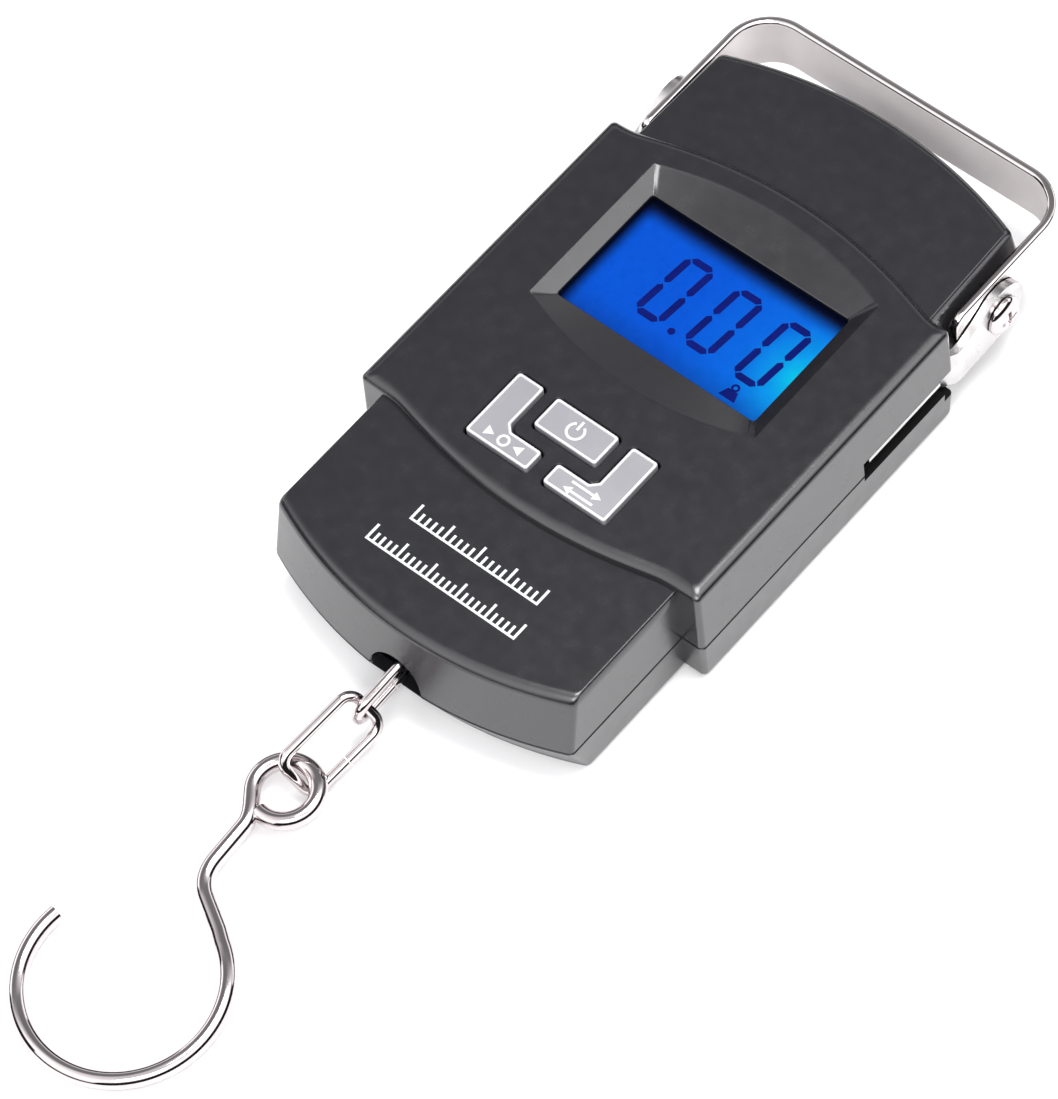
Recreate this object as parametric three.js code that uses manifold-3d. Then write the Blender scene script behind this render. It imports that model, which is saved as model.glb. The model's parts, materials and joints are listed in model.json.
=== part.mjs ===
// Hand-held digital hanging scale with a folding strap handle, two chain links and an open hook.
// Millimetres.  The scale lies on its back: +Z rises out of the display, +Y runs to the handle,
// +X is the scale's right.  The origin is in the flat back face, midway across the case.
import * as THREE from 'three';
import { mergeVertices } from 'three/addons/utils/BufferGeometryUtils.js';
import Module from 'manifold-3d';

const wasm = await Module();
wasm.setup();

// ---------------------------------------------------------------- driving dimensions
const PART_Z = 8.5;             // parting line between the two shells
const NARROW_Z = 19.4;          // front face of the two narrow ends
const WIDE_Z = 21;              // front face of the wide middle, standing proud
const WALL = 1.8;               // shell wall
const GAP = 0.3;                // clearance between neighbouring pieces

const NARROW_HALF = 26.8;       // half width of the narrow ends at the parting line
const UPPER_TAPER = 0.5;        // the upper end draws in by this much on each side
const LOW_CORNER_Y = -51.5;     // corners of the lower end at the parting line
const LOW_SAG = 5.7;            // how far the lower end bows beyond its corners
const HIGH_CORNER_Y = 48;       // corners of the upper end at the parting line
const HIGH_SAG = 4.9;           // how far the upper end bows beyond its corners

const WIDE_HALF = 30.4;         // half width of the wide middle at the parting line
const WIDE_LOW_Y = -28.2;       // lower shoulders
const WIDE_HIGH_Y = 27;         // upper shoulders
const WIDE_LOW_SAG = 3.5;       // bow of the wide face's lower edge
const WIDE_HIGH_SAG = 4.9;      // bow of the wide face's upper edge

const LCD = { x: 17.6, low: -0.6, high: 20.4 };            // display opening
const BEZEL = { left: -20.3, right: 20, low: -3.2, high: 24.1, depth: 1.2, lowSag: 4.1, highSag: 3.8 };
const BUTTON_RISE = 0.5;        // caps stand above the wide face
const BUTTON_GAP = 0.35;

const ARM_Z = [6, 13];          // sheet-steel arm, lower and upper edge
const ARM_THICK = 1.2;
const ARM_IN = 27.3;            // inner face of the arm inside the case
const ARM_OUT = 28.8;           // inner face of the ear outside the case
const PIVOT = { y: 38.2, z: 11.4 };
const EAR_R = 5;
const SLOT = { low: 7, z0: 5.5, z1: 11.5 };

const STRAP = { inner: 27.2, thick: 1.4, z0: 7.3, z1: 17.2, bar: 57.7, tail: 30, bend: 7.5 };

const LINK_R = 0.8;             // wire radius of both chain links
const HOOK_R = 1.32;            // wire radius of the hook
const HOOK_C = 14.25;           // centre-line radius of the open bend
const HOOK_EYE = 4.6;           // centre-line radius of the eye
const HOOK_REACH = 34.5;        // eye centre to bend centre

const CELL = { half: 6, z0: 6.4, z1: 12.6, low: -44.5, high: 6.9, hole: -50.3 };
const END_HOLE_R = 4.3;         // opening in the lower end for the chain

const AAA = { r: 5.2, length: 43.4, nub: 1.1, end: 23.5 };   // length without the nub
const AAA_Y = [22.2, 33.6];
const AAA_Z = 7.9;
const DOOR = { x: 23.4, low: 14.6, high: 40.2, thick: 1.6 };

// ---------------------------------------------------------------- helpers
function toSolid(geometry) {
  const bare = geometry.index ? geometry.toNonIndexed() : geometry;
  bare.deleteAttribute('normal');
  bare.deleteAttribute('uv');
  const merged = mergeVertices(bare, 1e-4);
  const vertProperties = new Float32Array(merged.attributes.position.array);
  const triVerts = new Uint32Array(merged.index.array);
  return new wasm.Manifold(new wasm.Mesh({ numProp: 3, vertProperties, triVerts }));
}

function toGeometry(solid) {
  const mesh = solid.getMesh();
  const geometry = new THREE.BufferGeometry();
  geometry.setAttribute('position', new THREE.BufferAttribute(new Float32Array(mesh.vertProperties), 3));
  geometry.setIndex(new THREE.BufferAttribute(new Uint32Array(mesh.triVerts), 1));
  return geometry;
}

function box(x0, x1, y0, y1, z0, z1) {
  const geometry = new THREE.BoxGeometry(x1 - x0, y1 - y0, z1 - z0);
  geometry.translate((x0 + x1) / 2, (y0 + y1) / 2, (z0 + z1) / 2);
  return toSolid(geometry);
}

// A cylinder from `from` to `to` along one axis, centred on the other two coordinates.
function rod(axis, radius, from, to, a, b, segments = 20) {
  const geometry = new THREE.CylinderGeometry(radius, radius, to - from, segments);
  const middle = (from + to) / 2;
  if (axis === 'x') {
    geometry.rotateZ(Math.PI / 2);
    geometry.translate(middle, a, b);
  } else if (axis === 'y') {
    geometry.translate(a, middle, b);
  } else {
    geometry.rotateX(Math.PI / 2);
    geometry.translate(a, b, middle);
  }
  return toSolid(geometry);
}

// A solid skinned over outlines of equal point count, each lying at its own height.
function loft(levels) {
  const count = levels[0].points.length;
  const position = [];
  const index = [];
  for (const level of levels) {
    for (const point of level.points) {
      position.push(point.x, point.y, level.z);
    }
  }
  for (let k = 0; k + 1 < levels.length; k++) {
    for (let i = 0; i < count; i++) {
      const j = (i + 1) % count;
      const a = k * count + i;
      const b = k * count + j;
      index.push(a, b, b + count, a, b + count, a + count);
    }
  }
  const top = (levels.length - 1) * count;
  for (const [i, j, k] of THREE.ShapeUtils.triangulateShape(levels[0].points, [])) {
    index.push(k, j, i);
  }
  for (const [i, j, k] of THREE.ShapeUtils.triangulateShape(levels.at(-1).points, [])) {
    index.push(top + i, top + j, top + k);
  }
  const geometry = new THREE.BufferGeometry();
  geometry.setAttribute('position', new THREE.Float32BufferAttribute(position, 3));
  geometry.setIndex(index);
  return toSolid(geometry);
}

// Points of a bowed edge from x = from to x = to, rising by `sag` at the middle.
function bow(from, to, y, sag, steps) {
  const half = Math.abs(to - from) / 2;
  const radius = (half * half + sag * sag) / (2 * Math.abs(sag));
  const middle = (from + to) / 2;
  const points = [];
  for (let i = 0; i <= steps; i++) {
    const x = from + ((to - from) * i) / steps;
    const rise = Math.sqrt(radius * radius - (x - middle) ** 2) - (radius - Math.abs(sag));
    points.push(new THREE.Vector2(x, y + Math.sign(sag) * rise));
  }
  return points;
}

// Outline of the narrow body, anticlockwise.  `ends` pulls the two bowed ends in, `sides` the sides.
function narrowOutline(sides, ends) {
  const low = NARROW_HALF - sides;
  const high = low - UPPER_TAPER;
  return [
    ...bow(-low, low, LOW_CORNER_Y + ends, -LOW_SAG, 16),
    new THREE.Vector2(low, WIDE_HIGH_Y),
    ...bow(high, -high, HIGH_CORNER_Y - ends, HIGH_SAG, 16),
    new THREE.Vector2(-low, WIDE_HIGH_Y),
  ];
}

// Outline of the wide middle with its straight shoulders and bowed edges, anticlockwise.
function wideOutline(inset) {
  const half = WIDE_HALF - inset;
  const low = WIDE_LOW_Y + inset;
  const high = WIDE_HIGH_Y - inset;
  return [
    new THREE.Vector2(-half, low),
    ...bow(-23.6, 23.6, low, -WIDE_LOW_SAG, 14),
    new THREE.Vector2(half, low),
    new THREE.Vector2(half, high),
    ...bow(26.4, -26.4, high, WIDE_HIGH_SAG, 14),
    new THREE.Vector2(-half, high),
  ];
}

// A rectangle whose lower and upper edges bulge by a parabola, anticlockwise.
function bowedBox(left, right, low, high, lowSag, highSag) {
  const steps = 14;
  const lower = [];
  const upper = [];
  for (let i = 0; i <= steps; i++) {
    const t = (2 * i) / steps - 1;
    const x = (left + right) / 2 + (t * (right - left)) / 2;
    lower.push(new THREE.Vector2(x, low - lowSag * (1 - t * t)));
    upper.push(new THREE.Vector2(x, high + highSag * (1 - t * t)));
  }
  return [...lower, ...upper.reverse()];
}

function prism(points, z0, z1) {
  return loft([{ z: z0, points }, { z: z1, points }]);
}

function shape(pairs) {
  return pairs.map(([x, y]) => new THREE.Vector2(x, y));
}

// An outline made wider by `by`, for straight-sided outlines given anticlockwise.
function grown(points, by) {
  const count = points.length;
  return points.map((p, i) => {
    const a = points[(i + count - 1) % count];
    const b = points[(i + 1) % count];
    const u = p.clone().sub(a).normalize();
    const v = b.clone().sub(p).normalize();
    const n = new THREE.Vector2(u.y + v.y, -u.x - v.x);
    const scale = by / (1 + u.dot(v));
    return p.clone().addScaledVector(n, scale);
  });
}

class Arc3 extends THREE.Curve {
  constructor(centre, u, v, radius, from, to) {
    super();
    Object.assign(this, { centre, u, v, radius, from, to });
  }
  getPoint(t, target = new THREE.Vector3()) {
    const angle = this.from + (this.to - this.from) * t;
    return target.copy(this.centre)
      .addScaledVector(this.u, this.radius * Math.cos(angle))
      .addScaledVector(this.v, this.radius * Math.sin(angle));
  }
}

function path(...curves) {
  const whole = new THREE.CurvePath();
  for (const curve of curves) {
    whole.add(curve);
  }
  return whole;
}

// Round wire bent along a path, with flat cut ends.
function wire(curve, radius, steps, sides) {
  const section = new THREE.Shape();
  section.absarc(0, 0, radius, 0, 2 * Math.PI, false);
  const options = { steps, extrudePath: curve, bevelEnabled: false, curveSegments: sides };
  return toSolid(new THREE.ExtrudeGeometry(section, options));
}

const part = new THREE.Group();
part.name = 'digital_hanging_scale';

function add(name, solid, material) {
  const mesh = new THREE.Mesh(toGeometry(solid), material());
  mesh.name = name;
  part.add(mesh);
}

function material(color, roughness, metalness, extra = {}) {
  return () => new THREE.MeshStandardMaterial({ color, roughness, metalness, ...extra });
}

const blackPlastic = material(0x34343a, 0.55, 0);
const silverPlastic = material(0xc4c4ca, 0.45, 0.1);
const clearPlastic = material(0xdfe8f4, 0.08, 0, { transparent: true, opacity: 0.25 });
const blueGlass = material(0x0a5ae6, 0.15, 0);
const whitePlastic = material(0xeef1f6, 0.5, 0);
const greenBoard = material(0x1f5a35, 0.5, 0);
const blackEpoxy = material(0x15151a, 0.4, 0);
const greyRubber = material(0x8a8c90, 0.8, 0);
const chrome = material(0xd8d8dc, 0.12, 1);
const steel = material(0xbfc1c6, 0.28, 1);
const zinc = material(0xa9acb2, 0.35, 1);
const aluminium = material(0xc8cacd, 0.38, 1);
const springSteel = material(0xc9c5b4, 0.25, 1);
const cellJacket = material(0x2f6d50, 0.35, 0.1);
const greyFilm = material(0xb8bbc2, 0.6, 0);

// ---------------------------------------------------------------- buttons, seen from the front
// Two L-shaped caps face each other round a rectangular one.
const leftCap = shape([
  [-12.4, -26.2],
  [-1.45, -26.2],
  [-1.45, -22.7],
  [-6.9, -22.7],
  [-7.9, -21.7],
  [-7.9, -14.5],
  [-12.4, -14.5],
]);
const rightCap = leftCap.map((p) => new THREE.Vector2(-p.x, p.y)).reverse();
const centreCap = shape([
  [-5.5, -19.9],
  [5.5, -19.9],
  [5.5, -14.5],
  [-5.5, -14.5],
]);
const caps = [
  ['button_left', leftCap],
  ['button_centre', centreCap],
  ['button_right', rightCap],
];
const domeSpots = [
  [-8.2, -23.6],
  [0, -17.2],
  [8.2, -23.6],
];

// ---------------------------------------------------------------- shells
const screwSpots = [
  [-21.2, -43],
  [21.2, -43],
  [-12, 43.6],
  [12, 43.6],
];
const boardPosts = [
  [-23, -24],
  [23, -24],
  [0, -8.4],
];

const armSlots = [-1, 1].map((side) => {
  const inside = [side * 27, side * 29.3].sort((a, b) => a - b);
  const outside = [side * 27, side * 32].sort((a, b) => a - b);
  const window = box(...outside, SLOT.low, WIDE_HIGH_Y + 3, SLOT.z0, SLOT.z1);
  const mouth = box(...inside, WIDE_HIGH_Y - 1.9, WIDE_HIGH_Y + 3, SLOT.z0, ARM_Z[1] + GAP);
  return window.add(mouth);
});

const narrowFront = loft([
  { z: PART_Z, points: narrowOutline(0, 0) },
  { z: NARROW_Z - 1.5, points: narrowOutline(0.25, 2) },
  { z: NARROW_Z - 0.5, points: narrowOutline(0.4, 2.6) },
  { z: NARROW_Z, points: narrowOutline(0.8, 3.6) },
]);
const wideFront = loft([
  { z: PART_Z, points: wideOutline(0) },
  { z: WIDE_Z - 0.8, points: wideOutline(0.3) },
  { z: WIDE_Z - 0.25, points: wideOutline(0.5) },
  { z: WIDE_Z, points: wideOutline(0.95) },
]);
const narrowHollow = loft([
  { z: PART_Z - 1, points: narrowOutline(WALL, WALL) },
  { z: NARROW_Z - WALL, points: narrowOutline(WALL + 0.3, WALL + 2.2) },
]);
const wideHollow = box(-28.7, 28.7, WIDE_LOW_Y + 1.5, WIDE_HIGH_Y - 1.7, PART_Z - 1, WIDE_Z - 2);

// Four slopes run from the bowed outer edge of the bezel down to the straight display opening.
const bezelTop = bowedBox(BEZEL.left, BEZEL.right, BEZEL.low, BEZEL.high, BEZEL.lowSag, BEZEL.highSag);
const bezel = loft([
  { z: WIDE_Z - BEZEL.depth, points: bowedBox(-LCD.x, LCD.x, LCD.low, LCD.high, 0, 0) },
  { z: WIDE_Z, points: bezelTop },
  { z: WIDE_Z + 1, points: bezelTop },
]);

let front = narrowFront.add(wideFront).subtract(narrowHollow).subtract(wideHollow);
front = front.subtract(box(-LCD.x, LCD.x, LCD.low, LCD.high, 17, WIDE_Z)).subtract(bezel);
for (const [, outline] of caps) {
  front = front.subtract(prism(grown(outline, BUTTON_GAP), 17, WIDE_Z + 1));
}
for (const [x, y] of screwSpots) {
  front = front.add(rod('z', 2.6, PART_Z, NARROW_Z - WALL + 0.4, x, y, 16));
  front = front.subtract(rod('z', 1.2, PART_Z - 1, 15.5, x, y, 12));
}
for (const [x, y] of boardPosts) {
  front = front.add(rod('z', 2, 16.1, WIDE_Z - 1.6, x, y, 14));
  front = front.subtract(rod('z', 0.9, 15, 18.6, x, y, 10));
}
const endHole = rod('y', END_HOLE_R, -62, -48, 0, PART_Z, 28);
front = front.subtract(endHole).subtract(armSlots[0]).subtract(armSlots[1]);
add('front_shell', front, blackPlastic);

const narrowRear = loft([
  { z: 0, points: narrowOutline(1.5, 4.6) },
  { z: 0.5, points: narrowOutline(0.7, 3.8) },
  { z: 1.6, points: narrowOutline(0.3, 2.9) },
  { z: PART_Z - 0.12, points: narrowOutline(0, 0) },
]);
const wideRear = loft([
  { z: 0, points: wideOutline(1.4) },
  { z: 0.5, points: wideOutline(0.7) },
  { z: 1.6, points: wideOutline(0.3) },
  { z: PART_Z - 0.12, points: wideOutline(0) },
]);
const narrowPan = loft([
  { z: WALL, points: narrowOutline(WALL + 0.4, WALL + 2.9) },
  { z: PART_Z + 1, points: narrowOutline(WALL, WALL - 0.4) },
]);
const widePan = box(-28.7, 28.7, WIDE_LOW_Y + 1.5, WIDE_HIGH_Y - 1.7, WALL, PART_Z + 1);

let rear = narrowRear.add(wideRear).subtract(narrowPan).subtract(widePan);
rear = rear.add(box(-25.6, 25.6, 12.6, 13.8, 1, PART_Z - 0.12));
rear = rear.add(box(-24.6, 24.6, 40.9, 42.1, 1, PART_Z - 0.12));
rear = rear.subtract(box(-DOOR.x - GAP, DOOR.x + GAP, DOOR.low - GAP, DOOR.high + GAP, -1, 3));
for (const [x, y] of screwSpots) {
  rear = rear.add(rod('z', 3.2, 0.4, PART_Z - 0.12, x, y, 18));
  rear = rear.subtract(rod('z', 1.5, -1, PART_Z + 1, x, y, 12));
  rear = rear.subtract(rod('z', 2.5, -1, 3, x, y, 18));
}
rear = rear.subtract(endHole).subtract(armSlots[0]).subtract(armSlots[1]);
add('rear_shell', rear, blackPlastic);

// Battery door: a flush panel with a thumb recess and an inner stiffening rim.
let door = box(-DOOR.x, DOOR.x, DOOR.low, DOOR.high, 0, DOOR.thick);
door = door.subtract(box(-5, 5, DOOR.high - 5.4, DOOR.high - 4.4, -1, 0.7));
door = door.subtract(box(-5, 5, DOOR.high - 3.8, DOOR.high - 2.8, -1, 0.7));
add('battery_door', door, blackPlastic);

// ---------------------------------------------------------------- display stack and keypad
add('display_window', box(-19.6, 19.6, -2.4, 22.2, 18.1, 18.8), clearPlastic);
add('lcd_panel', box(-19.2, 19.2, -2.1, 22, 17, 17.9), blueGlass);
add('backlight', box(-18.8, 18.8, -1.9, 19.4, 16.05, 16.85), whitePlastic);
add('lcd_connector', box(-17, 17, 19.9, 21.8, 16.02, 16.88), greyRubber);

let board = box(-25.6, 25.6, -26, 23.6, 14.7, 15.85);
for (const [x, y] of boardPosts) {
  board = board.subtract(rod('z', 1.3, 14, 17, x, y, 12));
}
add('circuit_board', board, greenBoard);
add('main_chip', rod('z', 4.2, 13.3, 14.5, 14, -6, 20), blackEpoxy);

let keypad = box(-13.6, 13.6, -26.3, -13.6, 17.1, 17.9);
for (const [x, y] of domeSpots) {
  keypad = keypad.add(rod('z', 1.6, 16.8, 17.5, x, y, 16));
}
add('keypad_mat', keypad, greyRubber);
domeSpots.forEach(([x, y], i) => {
  const profile = [
    new THREE.Vector2(0, 0.2),
    new THREE.Vector2(2.4, 0.2),
    new THREE.Vector2(2.5, 0),
    new THREE.Vector2(2.7, 0),
    new THREE.Vector2(2.5, 0.35),
    new THREE.Vector2(1.2, 0.65),
    new THREE.Vector2(0, 0.7),
  ];
  const dome = new THREE.LatheGeometry(profile, 20);
  dome.rotateX(Math.PI / 2);
  dome.translate(x, y, 15.95);
  add(`contact_dome_${i + 1}`, toSolid(dome), springSteel);
});

// Each cap has a rim inside the case and a stem over its dome.
caps.forEach(([name, outline], i) => {
  const [x, y] = domeSpots[i];
  const face = loft([
    { z: 18.95, points: outline },
    { z: WIDE_Z + BUTTON_RISE - 0.35, points: outline },
    { z: WIDE_Z + BUTTON_RISE, points: grown(outline, -0.35) },
  ]);
  const stem = rod('z', 1.3, 18.75, 19.2, x, y, 16);
  add(name, face.add(stem), silverPlastic);
});

boardPosts.forEach(([x, y], i) => {
  const head = rod('z', 1.9, 13.6, 14.55, x, y, 16);
  const shaft = rod('z', 0.75, 14.5, 18.2, x, y, 12);
  const cross = box(x - 1.1, x + 1.1, y - 0.22, y + 0.22, 13, 14.1);
  add(`board_screw_${i + 1}`, head.add(shaft).subtract(cross), zinc);
});

screwSpots.forEach(([x, y], i) => {
  const head = rod('z', 2.2, 1.3, 2.8, x, y, 20);
  const shaft = rod('z', 1.05, 2.7, 14.6, x, y, 14);
  const slotA = box(x - 1.4, x + 1.4, y - 0.27, y + 0.27, 1, 2.1);
  const slotB = box(x - 0.27, x + 0.27, y - 1.4, y + 1.4, 1, 2.1);
  add(`case_screw_${i + 1}`, head.add(shaft).subtract(slotA).subtract(slotB), zinc);
});

// ---------------------------------------------------------------- load frame and load cell
// A strip bent into a U.  Outside the case each arm steps outward and ends in a round ear.
function armOutline(side) {
  const inner = shape([
    [side * ARM_IN, 7.4],
    [side * ARM_IN, 26],
    [side * ARM_OUT, 28.6],
    [side * ARM_OUT, PIVOT.y + EAR_R],
    [side * (ARM_OUT + ARM_THICK), PIVOT.y + EAR_R],
    [side * (ARM_OUT + ARM_THICK), 28.4],
    [side * (ARM_IN + ARM_THICK), 25.8],
    [side * (ARM_IN + ARM_THICK), 7.4],
  ]);
  return side > 0 ? inner.reverse() : inner;
}

let frame = box(-ARM_IN - ARM_THICK, ARM_IN + ARM_THICK, 7.4, 7.4 + ARM_THICK, ...ARM_Z);
for (const side of [-1, 1]) {
  const blank = prism(armOutline(side), ARM_Z[0], PIVOT.z + EAR_R);
  const strip = box(-40, 40, 0, 34.6, ...ARM_Z);
  const ear = rod('x', EAR_R, -40, 40, PIVOT.y, PIVOT.z, 32);
  const neck = new THREE.Shape(shape([
    [29.6, ARM_Z[0]],
    [PIVOT.y, PIVOT.z - EAR_R],
    [PIVOT.y, PIVOT.z + EAR_R],
    [33, ARM_Z[1] + 1.2],
    [29.6, ARM_Z[1]],
  ]));
  const web = new THREE.ExtrudeGeometry(neck, { depth: 80, bevelEnabled: false });
  web.rotateX(Math.PI / 2);
  web.rotateZ(Math.PI / 2);
  web.translate(-40, 0, 0);
  const profile = strip.add(ear).add(toSolid(web));
  frame = frame.add(blank.intersect(profile));
}
frame = frame.subtract(rod('x', 2.1, -40, 40, PIVOT.y, PIVOT.z, 20));
for (const x of [-3.4, 3.4]) {
  frame = frame.subtract(rod('y', 1.3, 0, 20, x, 9.5, 14));
}
add('load_frame', frame, steel);

// Bending-beam load cell: a bar with a double round window and a thin drilled tongue.
const cellMid = (CELL.z0 + CELL.z1) / 2;
let cell = box(-CELL.half, CELL.half, CELL.low, CELL.high, CELL.z0, CELL.z1);
const tongueEnd = rod('z', 2.3, cellMid - 0.5, cellMid + 0.5, 0, CELL.hole, 24);
const tongue = box(-2.3, 2.3, CELL.hole, CELL.low + 1, cellMid - 0.5, cellMid + 0.5);
cell = cell.add(tongue).add(tongueEnd);
cell = cell.subtract(rod('z', 1.4, 0, 20, 0, CELL.hole, 18));
cell = cell.subtract(rod('x', 1.9, -10, 10, -24, cellMid, 20));
cell = cell.subtract(rod('x', 1.9, -10, 10, -12, cellMid, 20));
cell = cell.subtract(box(-10, 10, -24, -12, cellMid - 0.7, cellMid + 0.7));
for (const x of [-3.4, 3.4]) {
  cell = cell.subtract(rod('y', 1.2, 0.4, 10, x, 9.5, 14));
}
add('load_cell', cell, aluminium);
[-3.4, 3.4].forEach((x, i) => {
  const head = rod('y', 2.2, 7.4 + ARM_THICK + 0.1, 10.3, x, 9.5, 18);
  const shaft = rod('y', 0.95, 1, 8.8, x, 9.5, 12);
  const slot = box(x - 1.4, x + 1.4, 9.6, 11, 9.2, 9.8);
  add(`cell_screw_${i + 1}`, head.add(shaft).subtract(slot), zinc);
});
const gauge = (z) => box(-2.6, 2.6, -26, -10, z, z + 0.25);
add('strain_gauge_upper', gauge(CELL.z1 + 0.05), greyFilm);
add('strain_gauge_lower', gauge(CELL.z0 - 0.3), greyFilm);

// ---------------------------------------------------------------- handle
const outerX = STRAP.inner + STRAP.thick;
function strapLine(half, y, radius) {
  const line = new THREE.Shape();
  line.moveTo(half, STRAP.tail);
  line.lineTo(half, y - radius);
  line.absarc(half - radius, y - radius, radius, 0, Math.PI / 2, false);
  line.lineTo(-half + radius, y);
  line.absarc(-half + radius, y - radius, radius, Math.PI / 2, Math.PI, false);
  line.lineTo(-half, STRAP.tail);
  return line.getPoints(8);
}
const outerLine = strapLine(outerX, STRAP.bar, STRAP.bend);
const innerLine = strapLine(STRAP.inner, STRAP.bar - STRAP.thick, STRAP.bend - STRAP.thick);
const strapRing = [...outerLine, ...innerLine.reverse()];
let strap = prism(strapRing, STRAP.z0, STRAP.z1);
// Legs end in rounded tails: each corner is cut back to a quarter round.
const tailR = 2;
const tailBands = [
  [STRAP.z0 - 1, STRAP.z0 + tailR, STRAP.z0 + tailR],
  [STRAP.z1 - tailR, STRAP.z1 + 1, STRAP.z1 - tailR],
];
for (const [z0, z1, centreZ] of tailBands) {
  const corner = box(-40, 40, STRAP.tail - 1, STRAP.tail + tailR, z0, z1);
  const round = rod('x', tailR, -41, 41, STRAP.tail + tailR, centreZ, 24);
  strap = strap.subtract(corner.subtract(round));
}
strap = strap.subtract(rod('x', 1.65, -40, 40, PIVOT.y, PIVOT.z, 20));
add('handle', strap, chrome);

for (const [name, side] of [['left', -1], ['right', 1]]) {
  const earFace = ARM_OUT + ARM_THICK;
  const profile = [
    new THREE.Vector2(0, STRAP.inner + 0.1),
    new THREE.Vector2(1.55, STRAP.inner + 0.1),
    new THREE.Vector2(1.55, ARM_OUT - 0.12),
    new THREE.Vector2(1.95, ARM_OUT - 0.12),
    new THREE.Vector2(1.95, earFace + 0.12),
    new THREE.Vector2(3.05, earFace + 0.12),
    new THREE.Vector2(3.05, earFace + 0.55),
    new THREE.Vector2(2.6, earFace + 1.15),
    new THREE.Vector2(1.5, earFace + 1.6),
    new THREE.Vector2(0, earFace + 1.7),
  ];
  const turned = new THREE.LatheGeometry(profile, 28);
  turned.rotateZ(-Math.PI / 2);
  turned.translate(0, PIVOT.y, PIVOT.z);
  let screw = toSolid(turned);
  const deep = [earFace + 0.8, earFace + 3];
  const long = 1.55;
  screw = screw.subtract(box(...deep, PIVOT.y - long, PIVOT.y + long, PIVOT.z - 0.3, PIVOT.z + 0.3));
  screw = screw.subtract(box(...deep, PIVOT.y - 0.3, PIVOT.y + 0.3, PIVOT.z - long, PIVOT.z + long));
  add(`pivot_screw_${name}`, side > 0 ? screw : screw.mirror([1, 0, 0]), chrome);
}

// ---------------------------------------------------------------- chain and hook
// Where the chain hangs at rest: it runs down from the case to a hook lying on the ground.
const linkTop = new THREE.Vector3(0, CELL.hole, cellMid);
const linkJoin = new THREE.Vector3(-0.6, -63.2, 7.2);
const eyeCentre = new THREE.Vector3(-2.6, -77.6, 3.75);
const bendCentre = new THREE.Vector3(-1.25, -112.25, 2.02);

// Axes of a flat bent piece: `along` points down the chain, `across` is its width.
function pose(from, to, roll) {
  const along = to.clone().sub(from).normalize();
  const level = new THREE.Vector3(0, 0, 1).cross(along).normalize();
  const across = level.applyAxisAngle(along, roll);
  return { along, across };
}

// A long ring of wire: two legs, rounded corners, and a butt joint in one leg.
function ringLink(from, to, half, corner, roll) {
  const { along, across } = pose(from, to, roll);
  const back = along.clone().negate();
  const left = across.clone().negate();
  const length = from.distanceTo(to);
  const at = (x, y) => from.clone().addScaledVector(across, x).addScaledVector(along, y);
  const flat = half - corner;
  const curves = [
    new THREE.LineCurve3(at(half, length / 2 + 0.12), at(half, length - corner)),
    new Arc3(at(flat, length - corner), across, along, corner, 0, Math.PI / 2),
    new THREE.LineCurve3(at(flat, length), at(-flat, length)),
    new Arc3(at(-flat, length - corner), along, left, corner, 0, Math.PI / 2),
    new THREE.LineCurve3(at(-half, length - corner), at(-half, corner)),
    new Arc3(at(-flat, corner), left, back, corner, 0, Math.PI / 2),
    new THREE.LineCurve3(at(-flat, 0), at(flat, 0)),
    new Arc3(at(flat, corner), back, across, corner, 0, Math.PI / 2),
    new THREE.LineCurve3(at(half, corner), at(half, length / 2 - 0.12)),
  ];
  return path(...curves.filter((curve) => curve.getLength() > 1e-6));
}

const degrees = Math.PI / 180;
const upperFrom = linkTop.clone();
const upperTo = linkJoin.clone().add(new THREE.Vector3(-0.1, -1.1, -0.2));
add('link_upper', wire(ringLink(upperFrom, upperTo, 2.6, 2.6, -102 * degrees), LINK_R, 44, 5), chrome);
const lowerFrom = linkJoin.clone().add(new THREE.Vector3(0, 0.8, 0.2));
const lowerTo = new THREE.Vector3(-2.6, -75.5, 3.85);
add('link_lower', wire(ringLink(lowerFrom, lowerTo, 3.6, 2, -52 * degrees), LINK_R, 52, 5), chrome);

// Hook in its own plane: `down` runs from the eye to the bend, `right` is across.
const down = bendCentre.clone().sub(eyeCentre).normalize();
const right = new THREE.Vector3(0, 0, 1).cross(down).normalize();
const hookAt = (x, y) => eyeCentre.clone().addScaledVector(right, x).addScaledVector(down, -y);
const up = down.clone().negate();

const stemX = -1.3;
const ringLeave = 214 * degrees;
const eyeEnd = hookAt(HOOK_EYE * Math.cos(ringLeave), HOOK_EYE * Math.sin(ringLeave));
const eyeTangent = new THREE.Vector3()
  .addScaledVector(right, -Math.sin(ringLeave))
  .addScaledVector(up, Math.cos(ringLeave));
const stemTop = hookAt(stemX, -7.4);
const stemLow = hookAt(stemX, -13.2);
const neckEnd = 58.2 * degrees;
const neckTangent = new THREE.Vector3()
  .addScaledVector(right, Math.sin(neckEnd))
  .addScaledVector(up, -Math.cos(neckEnd));
const bendStart = hookAt(HOOK_C * Math.cos(neckEnd), -HOOK_REACH + HOOK_C * Math.sin(neckEnd));
const neckLow = bendStart.clone().addScaledVector(neckTangent, -6.9);

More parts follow.
